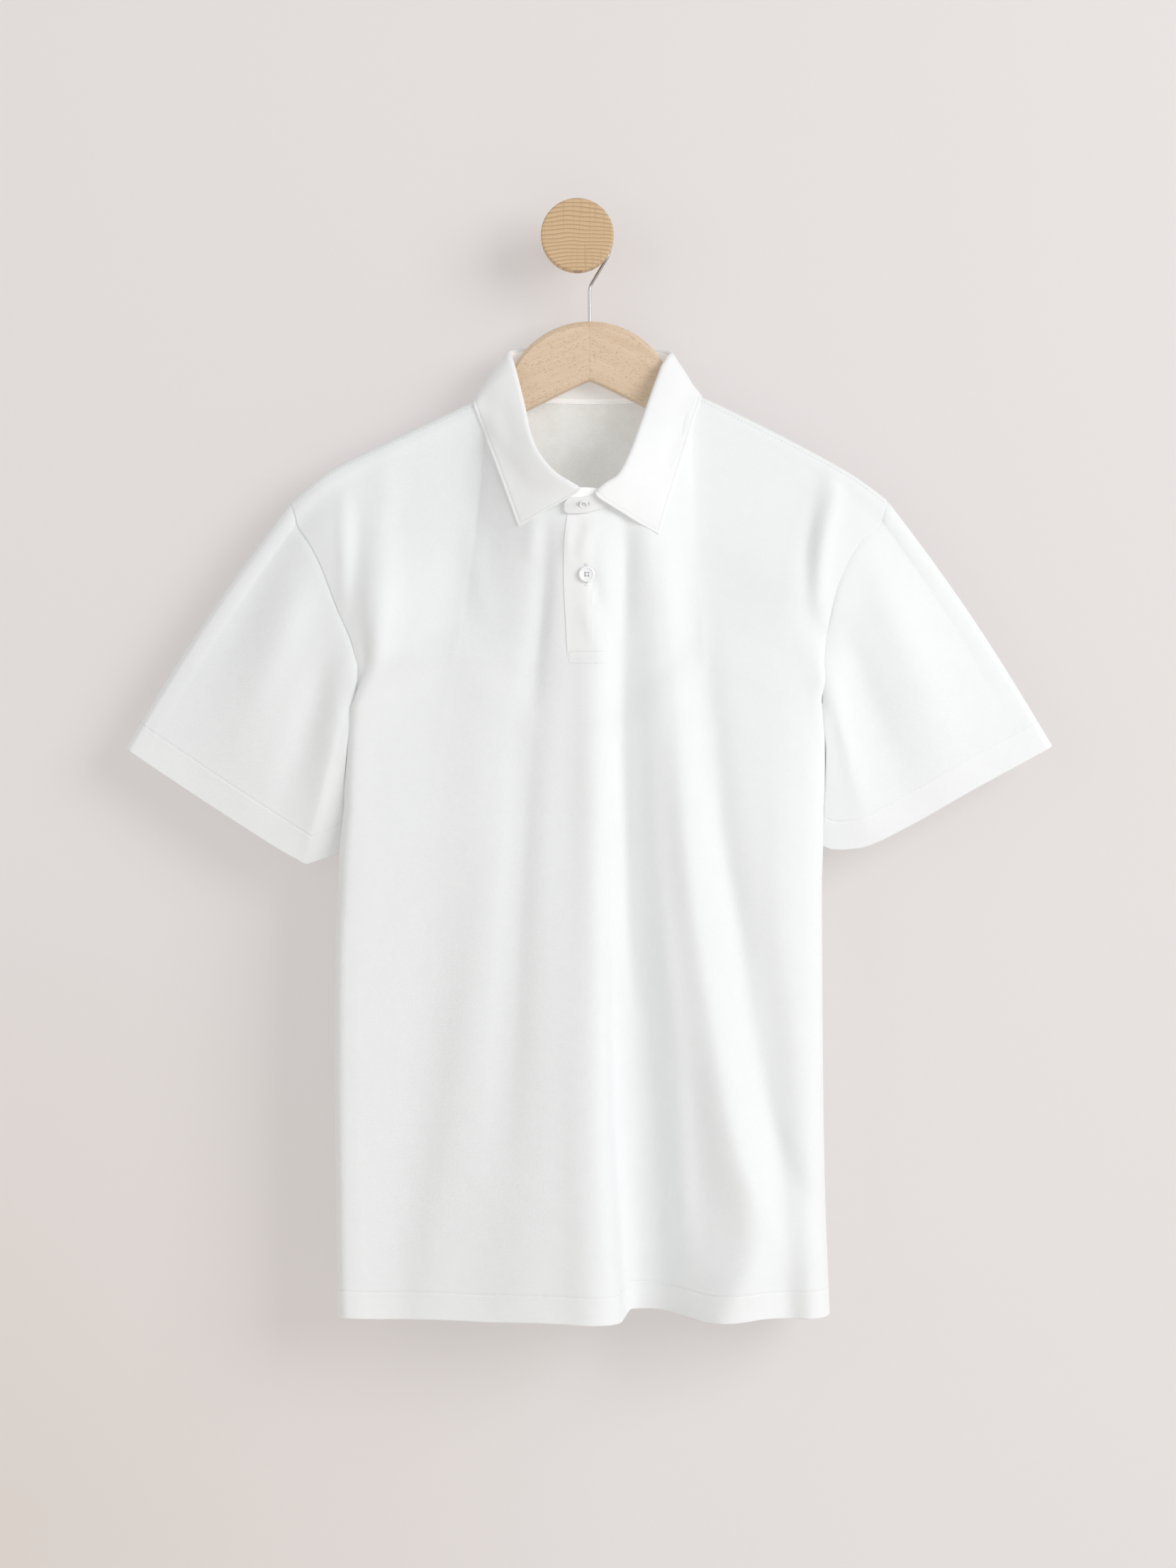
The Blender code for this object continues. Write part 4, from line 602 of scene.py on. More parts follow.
# ---------------------------------------------------------------- grids
def resample(grid, places, closed=False):
    """Rows of a grid read at fractional places, one list for each column, on a smooth curve."""
    if closed:
        ring = np.concatenate([grid[-1:], grid, grid[:2]])
    else:
        ring = np.concatenate([2 * grid[:1] - grid[1:2], grid, 2 * grid[-1:] - grid[-2:-1]])
    step = np.maximum(np.linalg.norm(np.diff(ring[..., :3], axis=0), axis=-1), 1e-6)[..., None]
    i = np.clip(np.floor(places).astype(int), 0, len(ring) - 4)
    t = (places - i)[..., None]
    column = np.arange(grid.shape[1])[None, :]
    p0, p1, p2, p3 = (ring[i + k, column] for k in range(4))
    before, here, after = (step[i + k, column] for k in range(3))
    return hermite(p1, (p2 - p0) * here / (before + here), p2, (p3 - p1) * here / (here + after), t)


def even_places(grid, near_first, near_last, step):
    """Fractional rows at set distances from the first and from the last row, evenly spaced between them."""
    finer = 6
    dense = np.linspace(0, len(grid) - 1, (len(grid) - 1) * finer + 1)
    run = run_lengths(resample(grid, np.repeat(dense[:, None], grid.shape[1], axis=1)))
    first, last = np.array(near_first), np.array(near_last)
    parts = max(2, int(round((run[-1].mean() - first[-1] - last[-1]) / step)))
    places = []
    for distance in run.T:
        between = np.linspace(first[-1], distance[-1] - last[-1], parts + 1)[1:-1]
        want = np.concatenate([first, between, (distance[-1] - last)[::-1]])
        places.append(np.interp(want, distance, dense))
    return np.array(places).T


def fine_both(grid, along, across):
    """Grid made fine both ways: distances of the close rows at both ends and the spacing between them."""
    for lanes in (along, across):
        grid = resample(grid, even_places(grid, *lanes)).swapaxes(0, 1)
    return grid


def run_lengths(grid):
    """Distance of every node from the first row, along its column."""
    steps = np.linalg.norm(np.diff(grid[..., :3], axis=0), axis=-1)
    return np.concatenate([np.zeros((1, grid.shape[1])), np.cumsum(steps, axis=0)])


def row_lengths(grid):
    """Distance of every node from the first column, along its row."""
    return run_lengths(grid.swapaxes(0, 1)).swapaxes(0, 1)


def grid_normals(grid, closed=False, sides=None, turned=0, top=None):
    """Unit normals of a grid; sides gives the way across at both side edges below row turned, and top the way
    along at the last row."""
    across = np.roll(grid, -1, axis=1) - np.roll(grid, 1, axis=1) if closed else np.gradient(grid, axis=1)
    along = np.gradient(grid, axis=0)
    if sides is not None:
        across[:turned, 0], across[:turned, -1] = sides
        along[-1] = top
    return unit(np.cross(across, along))


def rounded_rows(points, normals, out, inn):
    """Grid with two more rows past each end that close the wall in a half round."""
    ends = []
    for edge, inner in ((0, 1), (-1, -2)):
        way = unit(points[edge] - points[inner])
        half = 0.5 * (out[edge] + inn[edge])[:, None]
        ends.append([(points[edge] + way * half * reach, normals[edge], out[edge] * keep, inn[edge] * keep)
                     for reach, keep in ((math.sqrt(0.5), math.sqrt(0.5)), (1, 0))])
    start, end = ends[0][::-1], ends[1]
    return [np.concatenate([[row[k] for row in start], middle, [row[k] for row in end]])
            for k, middle in enumerate((points, normals, out, inn))]


def cloth_wall(name, points, normals, out, inn, closed=False, ply=None):
    """Closed cloth wall round a middle surface: outer side at out, inner side at inn, borders rounded.

    ply says where the cloth is double, from 0 to 1; without it the cloth is double all over."""
    ply = np.ones(points.shape[:2]) if ply is None else ply
    points, normals, out, inn = rounded_rows(points, normals, out, inn)
    if not closed:
        turned = rounded_rows(*(a.swapaxes(0, 1) for a in (points, normals, out, inn)))
        points, normals, out, inn = (a.swapaxes(0, 1) for a in turned)
    rows, cols = points.shape[:2]
    outside = np.arange(rows * cols).reshape(rows, cols)
    inside = outside + rows * cols
    inside[0], inside[-1] = outside[0], outside[-1]
    across, along = row_lengths(points), run_lengths(points)
    if closed:
        outside, inside, along = (np.hstack([a, a[:, :1]]) for a in (outside, inside, along))
        across = np.hstack([across, across[:, -1:] + np.linalg.norm(points[:, :1] - points[:, -1:], axis=-1)])
    else:
        inside[:, 0], inside[:, -1] = outside[:, 0], outside[:, -1]
    place = np.stack([across, along], axis=-1) * MM
    low, high = slice(None, -1), slice(1, None)
    corners = ((low, low), (low, high), (high, high), (high, low))
    faces = np.vstack([np.stack([side[c] for c in order], axis=-1).reshape(-1, 4)
                       for side, order in ((outside, corners), (inside, corners[::-1]))])
    uv = np.vstack([np.stack([place[c] for c in order], axis=-2).reshape(-1, 2)
                    for order in (corners, corners[::-1])])
    verts = np.vstack([(points + normals * out[..., None]).reshape(-1, 3),
                       (points - normals * inn[..., None]).reshape(-1, 3)])
    used = np.unique(faces)
    renumber = np.zeros(len(verts), int)
    renumber[used] = np.arange(len(used))
    obj = add_mesh(name, verts[used], renumber[faces].tolist(), uv)
    ply = np.pad(ply, ((2, 2), (0, 0) if closed else (2, 2)), mode="edge").ravel()
    inside = (used >= rows * cols).astype(float)
    # inside marks the inner side, which the knit paints darker as shade and makes glow as painted light
    for key, values in (("ply", np.concatenate([ply, ply])[used]), ("inside", inside)):
        obj.data.attributes.new(key, "FLOAT", "POINT").data.foreach_set("value", values)
    return obj


def add_mesh(name, verts, faces, uv=None):
    """Smooth mesh object from millimetre points, with its faces turned outwards."""
    mesh = bpy.data.meshes.new(name)
    mesh.from_pydata((np.asarray(verts, float) * MM).tolist(), [], faces)
    if uv is not None:
        mesh.uv_layers.new(name="cloth").data.foreach_set("uv", uv.ravel())
    bm = bmesh.new()
    bm.from_mesh(mesh)
    bmesh.ops.recalc_face_normals(bm, faces=bm.faces)
    if bm.calc_volume(signed=True) < 0:
        bmesh.ops.reverse_faces(bm, faces=bm.faces)
    bm.to_mesh(mesh)
    bm.free()
    mesh.polygons.foreach_set("use_smooth", [True] * len(mesh.polygons))
    return placed(bpy.data.objects.new(name, mesh))


def placed(obj):
    """Object linked into the scene."""
    bpy.context.scene.collection.objects.link(obj)
    return obj


def surface_tree(*grids):
    """Search tree over middle surfaces."""
    verts, faces = [], []
    for grid in grids:
        rows, cols = grid.shape[:2]
        faces += [(a, a + 1, a + cols + 1, a + cols) for i in range(rows - 1)
                  for a in range(len(verts) + i * cols, len(verts) + (i + 1) * cols - 1)]
        verts += [Vector(p) for p in grid.reshape(-1, 3)]
    return BVHTree.FromPolygons(verts, faces)


def front_depth(tree, x, z):
    """Depth of the first cloth met from the front at x, z."""
    hit = tree.ray_cast(Vector((x, -400, z)), Vector((0, 1, 0)))[0]
    return hit.y if hit is not None else NO_CLOTH_Y


# ---------------------------------------------------------------- sleeves
def armhole_nodes(side, panel, count):
    """Nodes of one armhole on a panel from the underarm to the shoulder point, with normals and reach."""
    grid, normals = panel
    end, inner = (0, 1) if side == "left" else (-1, -2)
    nodes, beside = grid[-1 - count:, end], grid[-1 - count:, inner]
    return nodes, normals[-1 - count:, end], unit(nodes - beside)


def sleeve_head(side, front, back):
    """Points, normals and outward way of the cloth round one armhole, where its fine columns start, and their
    places counted in nodes from the underarm round the front."""
    ring = []
    for up_front, up_back in zip(armhole_nodes(side, front, ARMHOLE_F), armhole_nodes(side, back, ARMHOLE_B)):
        ring.append(np.vstack([0.5 * (up_front[:1] + up_back[:1]), up_front[1:-1],
                               0.5 * (up_front[-1:] + up_back[-1:]), up_back[::-1][1:-1]]))
    outward = -1 if side == "left" else 1
    head, head_n, reach = ring[0], unit(ring[1]), ring[2]
    reach[0] = (0.5 * outward, 0, 0.85)
    head_n[0] = (0.85 * outward, 0, -0.5)
    for near in (1, -1):
        reach[near] = 0.5 * (reach[near] + reach[0])
    places = np.unique(np.concatenate([np.arange(len(head) * RING_FINE) / RING_FINE,
                                       np.array(RING_LANES), len(head) - np.array(RING_LANES[::-1])]))
    packed = np.concatenate([head, head_n, unit(reach)], axis=1)[:, None, :]
    packed = resample(packed, places[:, None], closed=True)[:, 0]
    return packed[:, :3], unit(packed[:, 3:6]), unit(packed[:, 6:9]), places


def sleeve_tail(side, place_front, place_back):
    """Hem opening of a sleeve at shares of its front half and of its back half."""
    front, back = SLEEVE_HEM[side]
    halves = []
    for points, shares in ((front, place_front), (front[-1:] + back + front[:1], place_back)):
        curve = spline(points, 600)
        run = arc_positions(curve)
        halves.append(read_at(shares * run[-1], run, curve))
    return np.vstack([halves[0], halves[1][1:-1]])


def fine_sleeve(side, front, back):
    """Fine middle surface of a sleeve: rows from the armhole to the hem, columns round from the under seam.

    place runs round each row: 0 at the under seam, 1 at the top fold, and back to 2 behind."""
    outward = -1 if side == "left" else 1
    head, head_n, reach, nodes = sleeve_head(side, front, back)
    top_node = int(np.argmin(np.abs(nodes - ARMHOLE_F)))
    halves = head[:top_node + 1], np.vstack([head[top_node:], head[:1]])
    place_front, place_back = (run / run[-1] for run in map(arc_positions, halves))
    tail = sleeve_tail(side, place_front, place_back)
    place = np.concatenate([place_front, 1 + place_back[1:-1]])
    to_under = np.minimum(place, 2 - place)
    top, near_top = bell((place - 1) / 0.25), 1 - bell((place - 1) / 0.12)
    head = head + reach * SEAM * (1.6 - 0.6 * bell(to_under / 0.3)[:, None]) * SEAM_SHOWN
    # way in which the cloth leaves the armhole
    turn = 0.5 - 0.5 * np.sum(unit(tail - head) * reach, axis=1, keepdims=True)
    near_under = bell(to_under / 0.34)[:, None]
    leave = (tail - head) * (1 - turn) + (reach * 45 + np.array([outward * 34, 0, 0])) * turn
    leave = leave * (1 - near_under) + (tail - head) * near_under
    # side edge of the body below the armhole, and how far the front bulges out past it
    column, reached = (0, slice(None, 6)) if side == "left" else (-1, slice(-6, None))
    lowest = head[0, 2] + 4
    below = front[0][:, column]
    bulge = (outward * front[0][:, reached, 0]).max(axis=1) - outward * below[:, 0]
    bulge, below = bulge[below[:, 2] < lowest], below[below[:, 2] < lowest]
    on_front, on_back = (np.clip(np.sin(math.pi * np.clip(p, 0, 1)), 0, 1) for p in (place, place - 1))
    tuck = bell((place - 0.12) / 0.13) * (place < 1)
    rows = []
    for t in np.linspace(0, 1, SLEEVE_ROWS)**1.15:
        row = hermite(head, leave, tail, tail - head, t)
        swell, soft = math.sin(math.pi * t), min(1, 3 * t)
        row += swell * np.stack([outward * 3.2 * top, -5 * on_front + 2 * on_back, 2.2 * top], axis=1)
        for at_head, at_hem, height, spread, peak, span in SLEEVE_FOLDS[side]:
            strength = math.exp(-((t - peak) / span)**2) * min(1, 4 * t)
            middle = at_head + (at_hem - at_head) * t
            row[:, 1] -= height * strength * near_top * bell((place - middle) / spread)
        row[:, 1] -= UNDER_FORWARD * tuck * swell**0.6
        # beside the body the under edge turns back at a crest: depth of the cloth behind it
        low = row[:, 2] < lowest
        near = (place < UNDER_CORNER) & low
        turned = 1 - place[near] / UNDER_CORNER
        crest = np.array([np.interp(UNDER_CORNER, place, row[:, c]) for c in range(2)])
        inward, deep, blend = (eased(v) for v in (turned / 0.5, (turned - 0.5) / 0.5, turned / 0.3))
        row[near, 1] += (crest[1] + (row[0, 1] - crest[1]) * deep - row[near, 1]) * soft * blend
        # how far out the cloth has to stay to clear the body's side
        beside = read_at(row[:, 2], below[:, 2], np.column_stack([below[:, :2], bulge]))
        side_x, side_y, side_bulge = beside.T
        forward = np.clip((side_y - row[:, 1]) / WALL_RISE, 0, 1)
        limit = outward * side_x + BODY_CLEAR + side_bulge * forward * (2 - forward)
        close = bell(np.minimum(place / 0.15, (2 - place) / 0.06)) * soft
        away = outward * row[:, 0]
        away = away + (limit - away) * close * low
        # squared corner from the crest in to the body
        square = outward * crest[0] + (limit[near] - outward * crest[0]) * inward
        away[near] += (square - away[near]) * soft * blend
        row[:, 0] = outward * np.where(low, np.maximum(away, limit), away)
        rows.append(row)
    grid = np.array(rows)
    grid = seam_forward(resample(grid, even_places(grid, SEAM_LANES, SLEEVE_HEM_LANES, ROW_STEP)))
    normals = grid_normals(grid, closed=True)
    return grid, normals if np.sum(normals[0] * head_n) > 0 else -normals


# ---------------------------------------------------------------- collar and placket
def collar_line(side, shares, tree):
    """Fold line and outer edge of one half of the collar at shares of the fold, front end to centre back."""
    rows = []
    for fold, (x, depth, z) in COLLAR[side]:
        if depth is None:
            around = (front_depth(tree, x + dx, z + dz) for dx in (-1, 0, 1) for dz in (-1, 0, 1))
            depth = min(around) - EDGE_LIFT
        rows.append((*fold, x, depth, z))
    both = spline(rows, 400)
    run = arc_positions(both)
    return read_at(shares * run[-1], run, both)


def neck_seam(front, back):
    """Neckline nodes from centre front round the left, the back and the right to centre front."""
    mid_f, mid_b = front.shape[1] // 2, back.shape[1] // 2
    return np.vstack([front[-1, mid_f - NECK_F:mid_f + 1][::-1], back[-1, mid_b - NECK_B + 1:mid_b + NECK_B],
                      front[-1, mid_f:mid_f + NECK_F + 1][::-1]])


def collar_lines(front, back, tree):
    """Neck seam, fold line and outer edge of the whole collar, one node for each node of the seam."""
    seam = neck_seam(front, back)
    mid = len(seam) // 2
    run = arc_positions(seam)
    left = collar_line("left", run[:mid + 1] / run[mid], tree)
    right = collar_line("right", (run[-1] - run[mid:]) / (run[-1] - run[mid]), tree)
    both = np.vstack([left, right[1:]])
    return seam, both[:, :3], both[:, 3:6]


def collar_fall(seam, fold, edge):
    """Middle surface of the fall: a roll over the top of the stand, then down to the outer edge."""
    column = np.arange(len(fold))
    droop = 0.12 + 0.38 * np.clip(np.minimum(column, column[::-1]) / 4, 0, 1)[:, None]
    up = unit(fold - seam)
    out = unit(np.cross(up, np.gradient(fold, axis=0)))
    start = fold + up * (SEAM + 0.1)
    start[-4:, 1] -= (0.3, 0.7, 1.1, 1.1)
    rows = [start + out * ROLL_RADIUS * (1 - math.cos(a)) + up * ROLL_RADIUS * math.sin(a)
            for a in np.radians(FALL_ROLL)]
    turned, angle = rows[-1], math.radians(FALL_ROLL[-1])
    way = out * math.sin(angle) + up * math.cos(angle)
    length = np.linalg.norm(edge - turned, axis=1, keepdims=True)
    rows += [hermite(turned, way * length * droop, edge, edge - turned, t)
             for t in np.linspace(0, 1, FALL_ROWS + 1)[1:]]
    return np.array(rows)


def lifted(grid, tree, clear, first):
    """Grid moved out along its own normals until it clears the cloth under it, rows before first kept."""
    for _ in range(4):
        n = grid_normals(grid)
        for i in range(first, grid.shape[0]):
            share = ((i - first) / (grid.shape[0] - 1 - first))**3
            for j in range(grid.shape[1]):
                gap = clear - tree.find_nearest(Vector(grid[i, j]))[3]
                grid[i, j] += n[i, j] * (gap if gap > 0 else max(gap, -1.2) * share)
    return grid


def collar_stand(seam, fold):
    """Middle surface of the stand: rows from the neck seam to just under the fold."""
    top = fold.copy()
    bottom = seam + unit(top - seam) * (1.2 * SEAM + 0.25)
    bottom[-4:, 1] -= (0.2, 0.8, 1.7, 2.2)
    top[-4:, 1] -= 0.6 * np.array([0.2, 0.8, 1.7, 2.2])
    x, low_y, low_z, top_y, top_z = np.array(STAND_LAP).T
    bottom = np.vstack([bottom, np.stack([x, low_y, low_z], axis=1)])
    top = np.vstack([top, np.stack([x, top_y, top_z], axis=1)])
    up = unit(top - bottom) * np.minimum(8, 0.5 * np.linalg.norm(top - bottom, axis=1))[:, None]
    return np.array([hermite(bottom, up, top, up, t) for t in np.linspace(0, 1, 4)])


def under_lap():
    """Middle surface of the stand's other end, between its two edges."""
    x, low_y, low_z, top_y, top_z = np.array(UNDER_LAP).T
    low, high = np.stack([x, low_y, low_z], axis=1), np.stack([x, top_y, top_z], axis=1)
    return np.array([low + (high - low) * t for t in np.linspace(0, 1, 4)])


def placket_grid(tree):
    """Middle surface of the outer placket on the front: its left edge stands proud, the others sink in."""
    rows = []
    foot, head = PLACKET[-1][0], PLACKET[0][0]
    for z in np.linspace(foot, head, PLACKET_ROWS + 1):
        left, right = smooth_table(PLACKET, z)
        row = []
        for x in np.linspace(left, right, PLACKET_COLUMNS + 1):
            here = front_depth(tree, x, z)
            sunk = eased(max(1.25 * (x - left) / (right - left) - 0.25, 0.85 * (1 - (z - foot) / 14)))
            row.append((x, here - PLACKET_LIFT + (PLACKET_LIFT + 0.25) * sunk, z))
        rows.append(row)
    return np.array(rows)


# ---------------------------------------------------------------- materials
class Look:
    """Material on a Principled shader, with short ways to add its nodes; place is the object's own space."""

    def __init__(self, name, rough, **sockets):
        self.mat = bpy.data.materials.new(name)
        self.mat.use_nodes = True
        self.tree = self.mat.node_tree
        self.shader = self.tree.nodes["Principled BSDF"]
        for key, value in {"Roughness": rough, **sockets}.items():
            self.shader.inputs[key.replace("_", " ")].default_value = value
        self.place = self.node("TexCoord").outputs["Object"]

    def node(self, kind, inputs=None, **settings):
        """Shader node with its settings; an input is a value or another node's output."""
        made = self.tree.nodes.new("ShaderNode" + kind)
        for name, value in settings.items():
            setattr(made, name, value)
        for key, value in (inputs or {}).items():
            self.put(value, made.inputs[key])
        return made

    def put(self, value, socket):
        """Value or output joined to an input."""
        if isinstance(value, bpy.types.NodeSocket):
            self.tree.links.new(value, socket)
        else:
            socket.default_value = value

    def maths(self, operation, *values):
        """Output of a Math node."""
        return self.node("Math", dict(enumerate(values)), operation=operation).outputs[0]

    def times(self, one, other):
        """Product of two values."""
        return self.maths("MULTIPLY", one, other)

    def mix(self, share, low, high):
        """Colour between two colours."""
        low, high = (c if isinstance(c, bpy.types.NodeSocket) else (*c, 1) for c in (low, high))
        return self.node("Mix", {0: share, 6: low, 7: high}, data_type="RGBA").outputs[2]

    def ramp(self, value, low, high):
        """Share that runs from 0 at low to 1 at high."""
        return self.node("MapRange", {0: value, 1: low, 2: high}).outputs[0]

    def split(self, vector):
        """The three parts of a vector."""
        return self.node("SeparateXYZ", {0: vector}).outputs

    def noise(self, scale, detail=3, rough=0.55, place=None, turn=0):
        """Noise from 0 to 1; three scales stretch it along the axes of the place, turned about Y."""
        place = self.place if place is None else place
        if isinstance(scale, tuple):
            place, scale = self.stretched(place, scale, turn), 1
        values = {"Vector": place, "Scale": scale, "Detail": detail, "Roughness": rough}
        return self.node("TexNoise", values).outputs[0]

    def stretched(self, place, scales, turn=0):
        """Place turned about Y and scaled along each axis."""
        place = self.node("VectorRotate", {"Vector": place, "Angle": turn}, rotation_type="Y_AXIS").outputs[0]
        return self.node("VectorMath", {0: place, 1: scales}, operation="MULTIPLY").outputs[0]

    def bump(self, height, strength, depth, **under):
        """Normal of a bumped surface."""
        values = {"Height": height, "Strength": strength, "Distance": depth, **under}
        return self.node("Bump", values).outputs[0]

    def done(self, color, normal=None, rough=None):
        """Finished material with its colour, its roughness as (output, span, least) and its normal."""
        self.put(color, self.shader.inputs["Base Color"])
        if rough is not None:
            self.put(self.maths("MULTIPLY_ADD", *rough), self.shader.inputs["Roughness"])
        if normal is not None:
            self.put(normal, self.shader.inputs["Normal"])
        return self.mat


def knit_material(name, thin, thick, inner, depth):
    """White cotton knit: rows of small V stitches with painted shade in their hollows, soft unevenness, single
    cloth painted greyer than double cloth for the dark inside that shows through, and an inner side painted
    darker for the shade inside the shirt that glows with painted light as if lit through the cloth.
    """
    look = Look(name, 0.92, Sheen_Weight=0.12, Sheen_Roughness=0.6)
    across, along, _ = look.split(look.node("UVMap", uv_map="cloth").outputs[0])
    leg = look.times(look.maths("PINGPONG", look.times(across, 1 / KNIT_WALE), 0.5), 2)
    row = look.maths("MULTIPLY_ADD", along, 1 / KNIT_COURSE, look.times(leg, 0.7))
    loops = look.maths("SINE", look.times(row, 2 * math.pi))
    height = look.maths("MULTIPLY_ADD", loops, 0.35, look.maths("SINE", look.times(leg, math.pi)))
    cloud, yarn = look.noise(55), look.noise(900, 2)
    ply, inside = (look.node("Attribute", attribute_name=key).outputs["Fac"] for key in ("ply", "inside"))
    # painted shade: single cloth is greyer than double cloth for the dark inside showing through, and the
    # inner side takes the darker inner colour for the shade inside the shirt
    base = look.mix(inside, look.mix(ply, thin, thick), inner)
    dull_tone_and_stitch_shade = tuple(0.955 * c for c in thin)
    # cloud and yarn give the cloth's own uneven tone; the loop height paints shade in the hollows between the
    # stitches
    unevenness_and_stitch_shade = ((cloud, 0.35, 0.75, 0.35), (yarn, 0.4, 0.7, 0.25), (height, 0.2, -0.3, 0.5))
    for value, low, high, amount in unevenness_and_stitch_shade:
        base = look.mix(look.times(look.ramp(value, low, high), amount), base, dull_tone_and_stitch_shade)
    # painted light: the inner side glows with its own colour, standing in for light that comes through the
    # cloth
    look.put(base, look.shader.inputs["Emission Color"])
    look.put(look.times(inside, THROUGH_LIGHT), look.shader.inputs["Emission Strength"])
    normal = look.bump(height, 0.5, depth, Normal=look.bump(cloud, 0.25, 0.0006))
    return look.done(base, normal, (yarn, 0.1, 0.86))


def thread_material(name, dark, light):
    """White sewing thread, slightly glossy, with its twist."""
    look = Look(name, 0.6, Sheen_Weight=0.2)
    wave = {"Vector": look.place, "Scale": 700, "Distortion": 1}
    twist = look.node("TexWave", wave, bands_direction="DIAGONAL").outputs[1]
    return look.done(look.mix(twist, dark, light), look.bump(twist, 0.4, 0.0001))


def pearl_material():
    """Milky button resin with cloudy, faintly blue layers and a clear gloss."""
    look = Look("button_pearl", 0.28, Coat_Weight=0.35, Coat_Roughness=0.12, Subsurface_Weight=0.15,
                Subsurface_Scale=0.002)
    layers = look.noise((220, 220, 700), 4, turn=0.5)
    base = look.mix(look.ramp(layers, 0.3, 0.7), (0.89, 0.905, 0.92), (0.95, 0.955, 0.96))
    return look.done(base, look.bump(layers, 0.08, 0.0003), (layers, 0.16, 0.14))


def beech_material():
    """Steamed beech: the grain runs along each arm, with short dark flecks and a joint in the middle."""
    look = Look("hanger_beech", 0.45, Coat_Weight=0.12, Coat_Roughness=0.3)
    plain, dark = (0.70, 0.53, 0.37), (0.40, 0.25, 0.14)
    x, y, z = look.split(look.place)
    across = look.maths("SUBTRACT", x, HANGER_CENTRE_X * MM)
    away = look.maths("ABSOLUTE", across)
    side = look.times(look.maths("SIGN", across), 0.07)
    arm = look.node("CombineXYZ", {0: away, 1: look.maths("ADD", y, side), 2: z}).outputs[0]
    turn = -math.radians(24)
    grain = look.noise((14, 160, 260), 4, 0.6, arm, turn)
    bands = look.noise((5, 30, 45), 2, place=arm, turn=turn)
    cells = {"Vector": look.stretched(arm, (260, 1200, 1600), turn), "Scale": 1}
    cells = look.node("TexVoronoi", cells).outputs[0]
    patches = look.noise((60, 300, 300), place=arm, turn=turn)
    fleck = look.times(look.ramp(cells, 0.34, 0.16), look.ramp(patches, 0.36, 0.5))
    joint = look.times(look.ramp(away, 0.00032, 0.00008), 0.3)
    base = look.mix(look.ramp(grain, 0.3, 0.7), plain, (0.77, 0.61, 0.45))
    base = look.mix(look.times(look.ramp(bands, 0.4, 0.7), 0.35), base, plain)
    base = look.mix(joint, look.mix(look.times(fleck, 0.75), base, dark), dark)
    relief = look.maths("SUBTRACT", grain, look.maths("ADD", fleck, joint))
    return look.done(base, look.bump(relief, 0.25, 0.0003), (grain, 0.25, 0.34))


def peg_material():
    """End grain of the peg: growth rings in long shallow arcs, crossed by fine rays and pores."""
    look = Look("peg_wood", 0.55)
    x, _, z = look.split(look.place)
    squares = (look.maths("POWER", v, 2) for v in (x, look.maths("ADD", z, 0.17)))
    radius = look.maths("SQRT", look.maths("ADD", *squares))
    radius = look.maths("MULTIPLY_ADD", look.noise((18, 8, 30), 2), 0.009, radius)
    late = look.maths("POWER", look.maths("FRACT", look.times(radius, 1 / 0.0031)), 4)
    rays, pores = look.noise((900, 0, 25), 1, 0.5), look.noise((1500, 40, 1500), 1)
    base = look.mix(late, (0.67, 0.48, 0.28), (0.36, 0.22, 0.11))
    base = look.mix(look.times(look.ramp(rays, 0.56, 0.68), 0.45), base, (0.48, 0.33, 0.19))
    base = look.mix(look.times(look.ramp(pores, 0.52, 0.68), 0.3), base, (0.55, 0.38, 0.22))
    relief = look.maths("MULTIPLY_ADD", late, -0.6, pores)
    return look.done(base, look.bump(relief, 0.2, 0.0002), (pores, 0.2, 0.45))


def chrome_material():
    """Bright drawn wire with faint length-wise draw marks."""
    look = Look("hook_chrome", 0.22, Metallic=1)
    marks = look.noise((1800, 1800, 60), 2)
    base = look.mix(marks, (0.50, 0.50, 0.51), (0.62, 0.62, 0.63))
    return look.done(base, look.bump(marks, 0.05, 0.0001), (marks, 0.14, 0.1))


def plaster_material(name):
    """Pale matt paint, darker and warmer low on the left, glowing with painted light that lifts the shadows
    cast on it, that shows from its front side only.
    """
    # painted glow: the paint emits light of its own colour, lifting the shadows on the wall and floor
    look = Look(name, 0.9, Emission_Strength=WALL_GLOW)
    x, _, z = look.split(look.place)
    base = look.mix(look.ramp(look.noise(1.2, 2), 0.3, 0.7), WALL_COLOR, tuple(0.985 * c for c in WALL_COLOR))
    base = look.mix(look.times(look.ramp(x, 0.05, -0.45), look.ramp(z, -0.45, -1)), base, WALL_WARM)
    look.put(base, look.shader.inputs["Emission Color"])
    clear = look.node("BsdfTransparent").outputs[0]
    back = look.node("NewGeometry").outputs["Backfacing"]
    both = look.node("MixShader", {0: back, 1: look.shader.outputs[0], 2: clear}).outputs[0]
    look.put(both, look.tree.nodes["Material Output"].inputs["Surface"])
    return look.done(base)


# ---------------------------------------------------------------- sewing
def groove(distance, at, depth=0.32, width=0.45):
    """How far a line of stitches at a distance from the edge draws the cloth in, less the swell beside it."""
    beside = bell((distance - at - 1.5) / 0.9) + bell((distance - at + 1.5) / 0.9)
    return depth * (bell((distance - at) / width) - 0.35 * beside)


def pucker(distance, along, at):
    """Small waves that a seam draws in the cloth beside it."""
    beat = np.sin(2 * math.pi * along / 7.5 + 1.7 * np.sin(along / 23)) * np.sin(along / 31 + 1)
    return 0.12 * beat * bell((distance - at) / 4)


def hem_step(distance, width):
    """Share of the turned-up cloth at a distance from the hem: 1 inside its width, 0 beyond."""
    return np.clip((width + 0.8 - distance) / 1.4, 0, 1)


